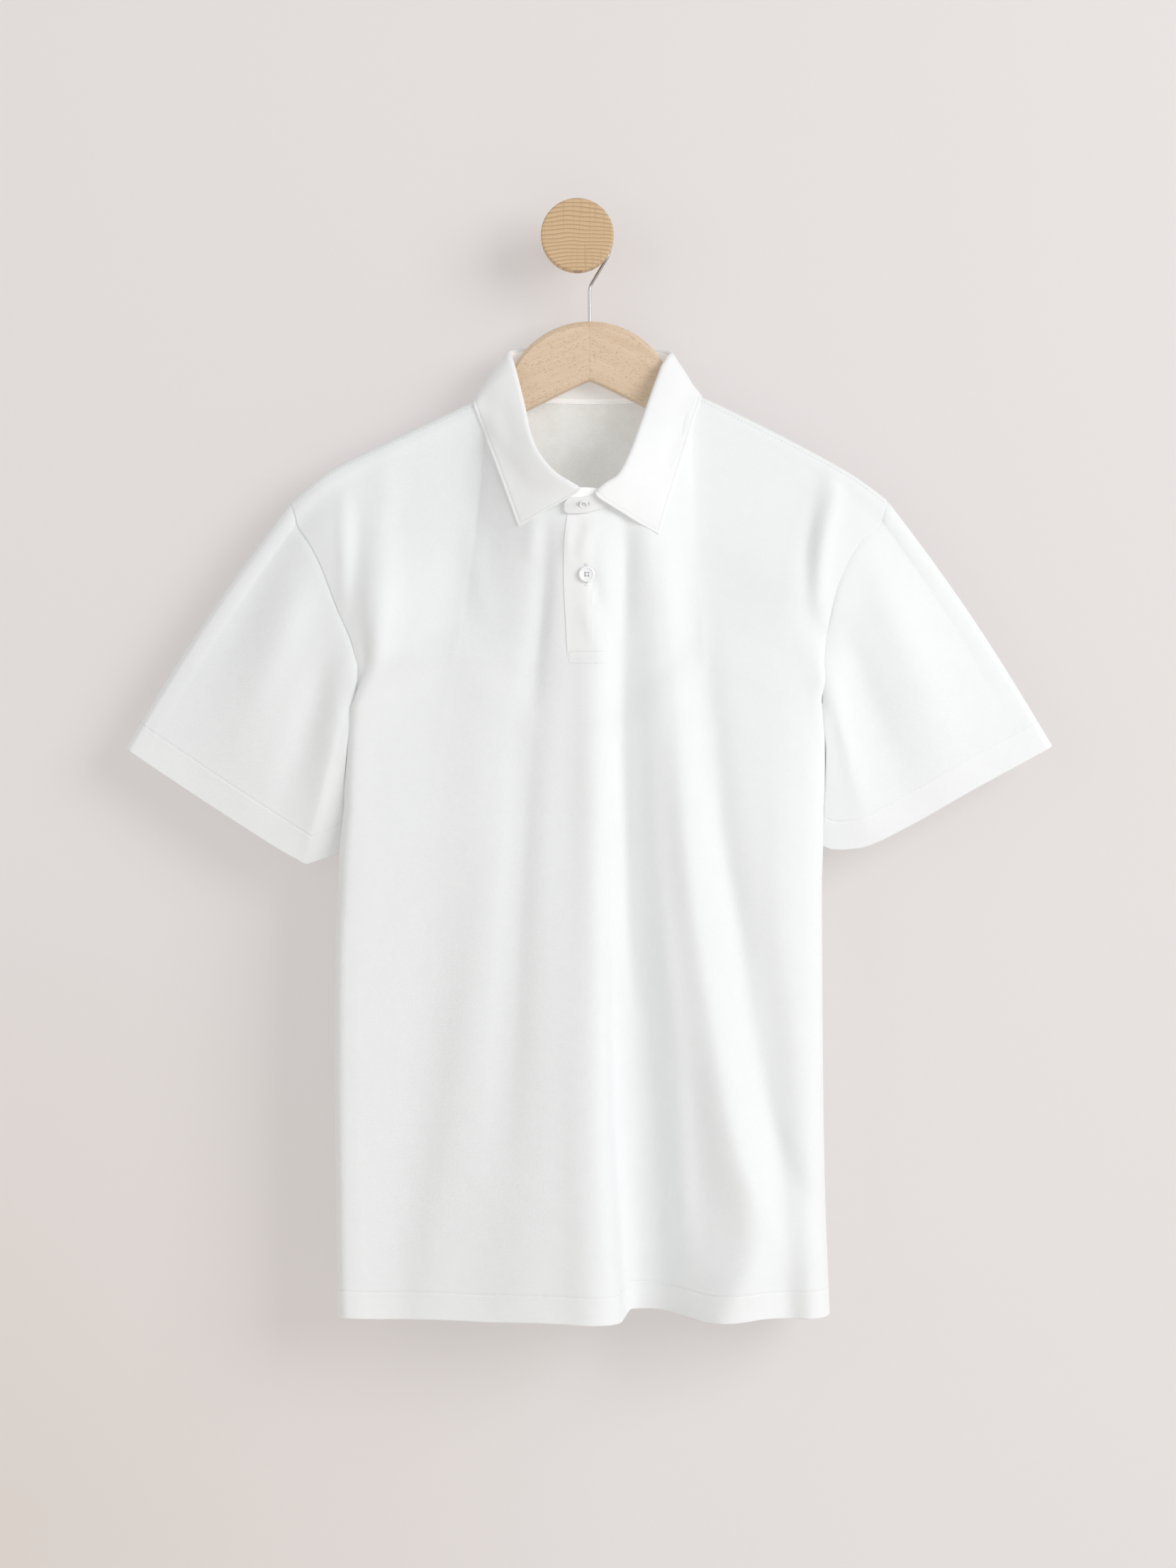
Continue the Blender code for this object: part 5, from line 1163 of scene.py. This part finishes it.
def ring_faces(count, size):
    """Faces between rings of vertices, closed by the first and the last ring."""
    faces = [(a, b, b + size, a + size) for i in range(0, (count - 1) * size, size)
             for a, b in ((i + k, i + (k + 1) % size) for k in range(size))]
    return faces + [tuple(range(size)), tuple(range((count - 1) * size, count * size))]


def circle(sides):
    """Angles of the vertices of a ring."""
    return 2 * math.pi * np.arange(sides) / sides


def joined(name, parts):
    """One mesh object from several lists of vertices and faces."""
    verts, faces = [], []
    for v, f in parts:
        faces += [tuple(i + len(verts) for i in face) for face in f]
        verts += list(v)
    return add_mesh(name, verts, faces)


def stitches(name, lines, pitch=2.7, length=2.1, radius=0.2):
    """Sewing thread as one mesh: a short round thread for every stitch along lines of points and normals."""
    shares, widths = (-1, -0.7, 0, 0.7, 1), (0.35, 0.9, 1, 0.9, 0.35)
    parts = []
    for points, normals in lines:
        run, both = arc_positions(points), np.hstack([points, normals])
        count = max(1, int(run[-1] / pitch))
        for middle in (np.arange(count) + 0.5) * run[-1] / count:
            places = read_at(middle + 0.5 * length * np.array(shares), run, both)
            way = unit(places[-1, :3] - places[0, :3])
            verts = []
            for share, width, place in zip(shares, widths, places):
                side = unit(np.cross(way, place[3:]))
                up = unit(np.cross(side, way))
                centre = place[:3] + up * radius * (0.75 - 1.1 * share**2)
                verts += [centre + radius * width * (math.cos(a) * side + 0.8 * math.sin(a) * up)
                          for a in circle(5)]
            parts.append((verts, ring_faces(len(shares), 5)))
    return joined(name, parts)


def tube(path, radius, sides=8):
    """Vertices and faces of a round tube along a path, closed by its end rings."""
    path = np.asarray(path, float)
    tangents = unit(np.gradient(path, axis=0))
    side = unit(np.cross(tangents[0], (0.13, 0.91, 0.39)))
    verts = []
    for p, t in zip(path, tangents):
        side = unit(side - t * np.dot(side, t))
        other = np.cross(t, side)
        verts += [p + radius * (math.cos(a) * side + math.sin(a) * other) for a in circle(sides)]
    return verts, ring_faces(len(path), sides)


# ---------------------------------------------------------------- hard parts
def turned(name, profile, steps, place=None):
    """Solid turned about the Y axis from (radius, y) rows that start and end on the axis."""
    verts, faces, rings = [], [], []
    for r, y in profile:
        size = 1 if r < 1e-6 else steps
        rings.append([len(verts) + k % size for k in range(steps + 1)])
        verts += [(r * math.cos(a), y, r * math.sin(a)) for a in circle(steps)[:size]]
    for low, high in zip(rings[:-1], rings[1:]):
        for k in range(steps):
            face = (low[k], high[k], high[k + 1], low[k + 1])
            faces.append(tuple(dict.fromkeys(face)))
    points = np.array(verts, float)
    return add_mesh(name, points if place is None else place(points), faces)


def corner(radius, angles, centre):
    """Points of a rounded corner, radius and depth round a centre, at angles in degrees."""
    return [(centre[0] + radius * math.cos(a), centre[1] + radius * math.sin(a)) for a in np.radians(angles)]


def sharpened(obj, angle):
    """Object whose edges over an angle in degrees stay sharp."""
    obj.data.set_sharp_from_angle(angle=math.radians(angle))
    return obj


def peg_piece():
    """Round wall peg: disc with a softened front edge on a stem that stands on the wall."""
    back = PEG_FACE_Y + PEG_RIM
    profile = [(0, 0), (STEM_RADIUS, 0), (STEM_RADIUS, -1), (STEM_RADIUS, back + 1)]
    profile += corner(1, (135, 90), (STEM_RADIUS + 1, back))
    profile += corner(1.2, np.linspace(90, 0, 5), (PEG_RADIUS - 1.2, back - 1.2))
    profile += corner(1.5, np.linspace(0, -90, 7), (PEG_RADIUS - 1.5, PEG_FACE_Y + 1.5))
    profile += [(PEG_RADIUS - 3, PEG_FACE_Y), (0.5 * PEG_RADIUS, PEG_FACE_Y), (0, PEG_FACE_Y)]
    return sharpened(turned("peg_turned", profile, 96), 40)


def wire_path():
    """Centre line of the hook: tip behind the peg, over the stem, down into the hanger."""
    centre, bend, foot = (np.array([x, HOOK_Y, z]) for x, z in HOOK_PLACES)
    angles = np.radians(np.linspace(200, -31, 90))
    arc = centre + HOOK_RADIUS * np.stack([np.cos(angles), 0 * angles, np.sin(angles)], axis=1)
    before, after = bend + 4 * unit(arc[-1] - bend), bend + 4 * unit(foot - bend)
    shank = [arc[-1] + (before - arc[-1]) * k / 12 for k in range(1, 12)]
    turn = [(1 - t)**2 * before + 2 * t * (1 - t) * bend + t**2 * after for t in np.linspace(0, 1, 13)]
    return np.vstack([arc, shank, turn, [after + (foot - after) * k / 8 for k in range(1, 9)]])


def wire_piece():
    """Round bright wire with a rounded tip."""
    path = wire_path()
    tangents = unit(np.gradient(path, axis=0))
    rings = [(path[0] - tangents[0] * WIRE_RADIUS * math.sin(a), tangents[0], math.cos(a))
             for a in np.radians((80, 60, 40, 20))]
    rings += [(p, t, 1) for p, t in zip(path, tangents)]
    side = np.array([0, 1, 0])
    verts = [p + WIRE_RADIUS * wide * (math.cos(a) * side + math.sin(a) * np.cross(t, side))
             for p, t, wide in rings for a in circle(20)]
    return add_mesh("hook_wire", verts, ring_faces(len(rings), 20))


def hanger_section(top, bottom, half):
    """Outline of an arm of the hanger: broad bevel on top, small rounding below."""
    big, small = min(4.5, 0.35 * (top - bottom)), min(2.2, 0.2 * (top - bottom))
    one = [(half - 0.85 * big * (1 - t), top - big * t) for t in (0, 0.08, 0.35, 0.65, 0.92, 1)]
    one += [(half, top - big - (top - bottom - big - small) * k / 4) for k in (1, 2, 3)]
    one += corner(small, (0, -22.5, -45, -67.5, -90), (half - small, bottom + small))
    one += [(0.5 * (half - small), bottom)]
    flat = 0.5 * (half - big)
    return [(flat, top)] + one + [(-u, w) for u, w in reversed(one)] + [(-flat, top)]


def hanger_piece():
    """Contoured wooden hanger with its crest in the middle and rounded ends."""
    far = HANGER_LEFT[-1][0] - HANGER_END
    end = HANGER_END * np.sin(np.radians((20, 40, 60, 75, 88)))
    away = np.concatenate([np.linspace(0, far, 90), far + end])
    top, bottom = smooth_table(HANGER_LEFT, away)
    shrink = np.sqrt(np.maximum(1 - np.clip((away - far) / HANGER_END, 0, 1)**2, 0.02))
    verts, count = [], 2 * len(away) - 1
    for place in range(1 - len(away), len(away)):
        k, side = abs(place), -1 if place < 0 else 1
        section = hanger_section(top[k], bottom[k], HANGER_HALF)
        middle = 0.5 * (top[k] + bottom[k])
        verts += [(HANGER_CENTRE_X + side * away[k], HOOK_Y + u * shrink[k],
                   middle + (w - middle) * (0.35 + 0.65 * shrink[k])) for u, w in section]
    return sharpened(add_mesh("hanger_wood", verts, ring_faces(count, len(section))), 35)


def button_place(name, tree):
    """Function that puts points of a button lying at the origin, facing -Y, on the cloth of a tree."""
    x, z, radius, lift, tilt_x, tilt_z = BUTTONS[name]
    y = front_depth(tree, x, z) - 0.5 * BAND - lift
    ax, az = math.radians(tilt_x), math.radians(tilt_z)

    def place(points):
        px, py, pz = np.asarray(points, float).T
        py, pz = py * math.cos(ax) - pz * math.sin(ax), py * math.sin(ax) + pz * math.cos(ax)
        px, py = px * math.cos(az) - py * math.sin(az), px * math.sin(az) + py * math.cos(az)
        return np.stack([px + x, py + y, pz + z], axis=1)

    return place, radius


def button_piece(name, piece_name, tree):
    """Dished button with four holes cut through it."""
    place, radius = button_place(name, tree)
    obj = turned(piece_name, [(r * radius, depth) for r, depth in BUTTON_SECTION], 64, place)
    scale = radius / BUTTON_SCALE
    hole = [(0, 1.5), (HOLE_RADIUS * scale, 1.5), (HOLE_RADIUS * scale, -4), (0, -4)]
    cutters = []
    for corner_x, corner_z in ((-1, -1), (-1, 1), (1, -1), (1, 1)):
        shift = np.array([corner_x, 0, corner_z]) * HOLE_REACH * scale
        cutters.append(turned("hole", hole, 14, lambda points, shift=shift: place(points + shift)))
        cut = obj.modifiers.new("hole", "BOOLEAN")
        cut.operation, cut.object, cut.solver = "DIFFERENCE", cutters[-1], "EXACT"
    result = bpy.data.meshes.new_from_object(obj.evaluated_get(bpy.context.evaluated_depsgraph_get()))
    obj.modifiers.clear()
    obj.data = result
    for cutter in cutters:
        bpy.data.objects.remove(cutter, do_unlink=True)
    return sharpened(obj, 40)


def button_threads(name, piece_name, tree):
    """Crossed sewing threads over a button's holes and the shank under it."""
    place, radius = button_place(name, tree)
    scale = radius / BUTTON_SCALE
    run = np.linspace(-1, 1, 13)
    parts = []
    for slant in (-1, 1):
        for shift in (-0.22, 0, 0.22):
            x = (1.05 * run * HOLE_REACH + shift) * scale
            z = (1.05 * run * HOLE_REACH - shift) * scale * slant
            y = -1.25 - 0.28 * (1 - run**4) + 0.9 * np.abs(run)**8 - (0.12 if slant > 0 else 0)
            parts.append(tube(place(np.stack([x, y, z], axis=1)), 0.17 * scale + 0.02))
    turns = np.linspace(0, 8 * math.pi, 100)
    shank = [0.8 * scale * np.cos(turns), 0.1 + 1.1 * turns / turns[-1], 0.8 * scale * np.sin(turns)]
    return joined(piece_name, parts + [tube(place(np.stack(shank, axis=1)), 0.2)])


def buttonhole(name, tree, at, half_length, upright):
    """Worked buttonhole: close satin stitches in a long ring that lies on the cloth of a tree."""
    parts = []
    for a in circle(2 * int(half_length * 5)):
        along = (half_length - 1.3) * np.clip(1.6 * math.cos(a), -1, 1)
        round_x, round_z = math.sin(a), math.cos(a) * (abs(math.cos(a)) > 0.6)
        inner = np.array([0.35 * round_x, along + 0.25 * round_z])
        outer = np.array([1.45 * round_x, along + 1.35 * round_z])
        run = []
        for t in np.linspace(0, 1, 5):
            u, v = inner + (outer - inner) * t
            x, z = (at[0] + u, at[1] + v) if upright else (at[0] + v, at[1] + u)
            run.append((x, front_depth(tree, x, z) - 0.5 * BAND - 0.25 - 0.22 * math.sin(math.pi * t), z))
        parts.append(tube(run, 0.19, 6))
    return joined(name, parts)


# ---------------------------------------------------------------- camera, light and room
def camera():
    """Camera level with the middle of the shirt, straight in front of it."""
    data = bpy.data.cameras.new("camera")
    data.lens, data.sensor_width, data.sensor_fit = CAMERA_LENS, 36, "AUTO"
    obj = placed(bpy.data.objects.new("camera", data))
    obj.location = [v * MM for v in CAMERA_AT]
    obj.rotation_euler = (math.radians(90), 0, 0)
    bpy.context.scene.camera = obj


def area_light(name, at, size, power):
    """Square soft light at a place, turned to the middle of the shirt."""
    data = bpy.data.lights.new(name, "AREA")
    data.size, data.energy = size, power
    obj = placed(bpy.data.objects.new(name, data))
    obj.location = at
    obj.rotation_euler = (Vector((0, 0, -0.45)) - Vector(at)).to_track_quat("-Z", "Y").to_euler()


def room():
    """Pale wall behind the peg and pale floor, with soft light from the right."""
    side, top, behind = 6, 3, 0.0005
    wall = [(-side, behind, FLOOR_Z), (side, behind, FLOOR_Z), (side, behind, top), (-side, behind, top)]
    floor = [(-side, -side, FLOOR_Z), (side, -side, FLOOR_Z), *wall[1::-1]]
    for name, corners in (("wall", wall), ("floor", floor)):
        mesh = bpy.data.meshes.new(name)
        mesh.from_pydata(corners, [], [(0, 1, 2, 3)])
        mesh.materials.append(plaster_material(name + "_paint"))
        placed(bpy.data.objects.new(name, mesh))
    area_light("key", (2.5, -2.4, 0.6), 2, 68)
    area_light("fill", (-2.6, -2.4, 0.2), 2.6, 16.5)
    world = bpy.data.worlds.new("studio")
    bpy.context.scene.world = world
    world.use_nodes = True
    background = world.node_tree.nodes["Background"].inputs
    background["Color"].default_value = (1, 0.995, 0.99, 1)
    background["Strength"].default_value = 0.5


# ---------------------------------------------------------------- pieces
def dress(obj, mat, slot, *nodes):
    """Piece with its material, riding on the body in place of its solids."""
    obj.data.materials.clear()
    obj.data.materials.append(mat)
    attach(obj, "root")
    if nodes:
        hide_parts(*nodes)
    return obj


def even_wall(name, grid, normals, half, mat, *nodes):
    """Cloth wall of double cloth, half thick on both sides of its middle surface."""
    half = np.full(grid.shape[:2], half)
    return dress(cloth_wall(name, grid, normals, half, half), mat, "trim_white", *nodes)


def outer_line(points, normals, out, lane):
    """Points and normals on the outer side of a wall along one of its rows."""
    return points[lane] + normals[lane] * out[lane][:, None], normals[lane]


def panel_piece(front, mat, thread, groove_shaded_topstitch):
    """Front or back of the shirt with its hem, and its stitches."""
    points, normals = fine_panel(front)
    from_hem, along = run_lengths(points), row_lengths(points)
    on_shoulder = np.abs(points[..., 0] - CENTRE_X) > SHOULDER_FROM
    out = 0.5 * JERSEY - groove(from_hem, HEM) + pucker(from_hem, along, HEM)
    if front:
        out -= groove(from_hem[-1] - from_hem, SHOULDER_STITCH, 0.4, 0.6) * on_shoulder
    double = hem_step(from_hem, HEM)
    name = "front" if front else "back"
    body = cloth_wall("shirt_" + name, points, normals, out, 0.5 * JERSEY + HEM_FOLD * double, ply=double)
    dress(body, mat, "jersey_white", name + "_panel")
    lines = [outer_line(points, normals, out, HEM_LANES.index(HEM))]
    sewing = [dress(stitches("stitches_hem_" + name, lines), thread, "trim_white")]
    if front:
        lane = -1 - TOP_LANES.index(SHOULDER_STITCH)
        line, line_n = outer_line(points, normals, out, lane)
        left = line[:, 0] < CENTRE_X
        halves = (on_shoulder[lane] & left, on_shoulder[lane] & ~left)
        lines = [(line[half], line_n[half]) for half in halves]
        sewing.append(dress(stitches("stitches_shoulder", lines, 2.9, 2.1, 0.22), groove_shaded_topstitch, "trim_white"))
    return points, normals, body, sewing


def sleeve_piece(side, nodes, mat, thread):
    """Sleeve with its hem, and the hem's stitches."""
    points, normals = fine_sleeve(side, nodes["front"], nodes["back"])
    from_head, along = run_lengths(points), row_lengths(points)
    from_hem = from_head[-1] - from_head
    width = SLEEVE_HEM_WIDTH
    points = points - normals * ARMHOLE_STEP * bell(from_head / 2.6)[..., None]
    seam = np.minimum(along, along[:, -1:] - along)
    out = 0.5 * JERSEY - groove(from_hem, width) + pucker(from_hem, along, width) - 0.3 * bell(seam / 0.5)
    double = hem_step(from_hem, width)
    inn = 0.5 * JERSEY + HEM_FOLD * double
    body = cloth_wall("shirt_sleeve_" + side, points, normals, out, inn, True, double)
    dress(body, mat, "jersey_white", "sleeve_" + side)
    line = outer_line(points, normals, out, -1 - SLEEVE_HEM_LANES.index(width))
    line = [np.vstack([a, a[:1]]) for a in line]
    return body, [dress(stitches("stitches_hem_sleeve_" + side, [line]), thread, "trim_white")]


def box_stitches(front_tree, band_tree, thread):
    """Stitched box that closes the foot of the placket, on whichever cloth lies foremost."""
    left, right, low, high = BOX_STITCH
    corners = [(left, low), (right, low), (right, high), (left, high), (left, low)]
    lines = []
    for start, end in zip(corners[:-1], corners[1:]):
        count = max(3, int(math.dist(start, end)))
        path = []
        for x, z in np.linspace(start, end, count):
            y = min(front_depth(front_tree, x, z) - 0.5 * JERSEY, front_depth(band_tree, x, z) - TRIM_HALF)
            path.append((x, y - 0.02, z))
        lines.append((np.array(path), np.tile((0, -1, 0), (count, 1))))
    return dress(stitches("stitches_placket", lines, 2.2, 1.8, 0.22), thread, "trim_white")


def neck_tape(back, back_n, mat, thread):
    """Tape sewn over the neck seam inside the back, and its stitches."""
    near = np.abs(back[-1, :, 0] - CENTRE_X) < SHOULDER_FROM - 6
    from_top = (run_lengths(back)[-1] - run_lengths(back))[::-1, near]
    both = np.concatenate([back, back_n], axis=-1)[::-1, near]
    places = np.linspace(*NECK_TAPE, 6)
    both = np.stack([read_at(places, from_top[:, k], both[:, k]) for k in range(both.shape[1])], axis=1)
    normals = unit(both[..., 3:])
    grid = both[..., :3] - normals * (0.5 * JERSEY + 0.45)
    tape = even_wall("shirt_neck_tape", grid, normals, TAPE_HALF, mat)
    line = (grid[-2] - normals[-2] * TAPE_HALF, -normals[-2])
    return tape, dress(stitches("stitches_neck_tape", [line], 2.6, 2, 0.2), thread, "trim_white")


def fall_piece(fall, mat, thread):
    """Fall of the collar, with its edge stitches."""
    normals = grid_normals(fall)
    if np.mean(normals[..., 2]) < 0:
        normals = -normals
    rows, cols = run_lengths(fall), row_lengths(fall)
    to_edge = np.minimum(rows[-1] - rows, np.minimum(cols, cols[:, -1:] - cols))
    out = TRIM_HALF - groove(to_edge, TRIM_STITCH, 0.35, 0.4)
    wall = cloth_wall("shirt_collar_fall", fall, normals, out, np.full_like(out, TRIM_HALF))
    lane, low = TRIM_LANES.index(TRIM_STITCH), len(FALL_ROLL) + 2
    line = []
    for grid in (fall + normals * out[..., None], normals):
        end, other_end = grid[low:-1 - lane, lane], grid[low:-1 - lane, -1 - lane]
        line.append(np.vstack([end, grid[-1 - lane, lane:-1 - lane], other_end[::-1]]))
    sewing = dress(stitches("stitches_collar", [line], 2.3, 1.8, 0.16), thread, "trim_white")
    return dress(wall, mat, "trim_white", "collar_fall"), sewing


def main():
    bpy.context.scene.view_settings.view_transform = "Standard"
    camera()
    room()
    # For each knit: single-cloth and double-cloth colours, single cloth painted greyer for the dark inside
    # showing through, then the inner side's colour, painted darker for the shade inside the shirt.
    knit = knit_material("jersey_white", (0.905, 0.933, 0.936), (0.92, 0.944, 0.947),
                         (0.67, 0.66, 0.635), 0.00012)
    trim = knit_material("trim_white", (0.93, 0.945, 0.95), (0.93, 0.945, 0.95), (0.82, 0.825, 0.82), 0.0001)
    tape = knit_material("neck_tape", (0.9, 0.9, 0.9), (0.9, 0.9, 0.9), (0.9, 0.9, 0.89), 0.0001)
    pearl = pearl_material()
    thread = thread_material("sewing_thread", (0.86, 0.87, 0.87), (0.92, 0.93, 0.93))
    # painted shade: the white topstitch thread is coloured grey for the shade of the grooves the stitches sink
    # into
    groove_shaded_topstitch = thread_material("topstitch_thread_groove_shade", (0.68, 0.69, 0.69), (0.82, 0.83, 0.83))

    nodes = {"front": panel_nodes(True), "back": panel_nodes(False)}
    front, _, front_obj, front_sewing = panel_piece(True, knit, thread, groove_shaded_topstitch)
    back, back_n, back_obj, back_sewing = panel_piece(False, knit, thread, groove_shaded_topstitch)
    sleeves = [sleeve_piece(side, nodes, knit, thread) for side in ("left", "right")]

    tree = surface_tree(front, back)
    seam, fold, edge = collar_lines(nodes["front"][0], nodes["back"][0], tree)
    stand = collar_stand(seam, fold)
    fall = collar_fall(stand[0, :len(seam)], stand[-1, :len(seam)], edge)
    fall = lifted(fall, tree, 0.5 * JERSEY + TRIM_HALF + 0.2, len(FALL_ROLL))
    edged, plain = (TRIM_LANES, TRIM_LANES, TRIM_STEP), (PLAIN_LANES, PLAIN_LANES, TRIM_STEP)
    stand = fine_both(stand, (TRIM_LANES, PLAIN_LANES, TRIM_STEP), (PLAIN_LANES, TRIM_LANES, TRIM_STEP))
    stand_obj = even_wall("shirt_collar_stand", stand, -grid_normals(stand), 0.5 * BAND, trim, "collar_stand")
    lap = fine_both(under_lap(), (PLAIN_LANES, TRIM_LANES, TRIM_STEP), plain)
    lap_obj = even_wall("shirt_collar_under_lap", lap, -grid_normals(lap), 0.5 * BAND, trim)
    fall = fine_both(fall, (PLAIN_LANES, TRIM_LANES, TRIM_STEP), edged)
    fall_obj, fall_sewing = fall_piece(fall, trim, thread)
    band = fine_both(placket_grid(tree), edged, edged)
    band_n = grid_normals(band)
    if np.mean(band_n[..., 1]) > 0:
        band_n = -band_n
    band_obj = even_wall("shirt_placket", band, band_n, TRIM_HALF, trim, "placket")

    stand_tree, band_tree = surface_tree(stand), surface_tree(band)
    box_sewing = box_stitches(surface_tree(front), band_tree, groove_shaded_topstitch)
    for name, piece, under in (("button_stand", "button_collar", stand_tree),
                               ("button_placket", "button_front", band_tree)):
        dress(button_piece(name, piece, under), pearl, "button_pearl", name)
        dress(button_threads(name, piece + "_thread", under), thread, "trim_white")
    tape_obj, tape_sewing = neck_tape(back, back_n, tape, thread)
    hole = buttonhole("buttonhole_front", band_tree, BUTTONS["button_placket"][:2], 8.5, True)
    hole_sewing = dress(hole, thread, "trim_white")
    hole = buttonhole("buttonhole_collar", stand_tree, BUTTONS["button_stand"][:2], 5.4, False)
    stand_hole = dress(hole, thread, "trim_white")
    dress(hanger_piece(), beech_material(), "hanger_beech", "hanger")
    dress(wire_piece(), chrome_material(), "hook_chrome", "hook")
    dress(peg_piece(), peg_material(), "peg_wood", "wall_peg")


main()
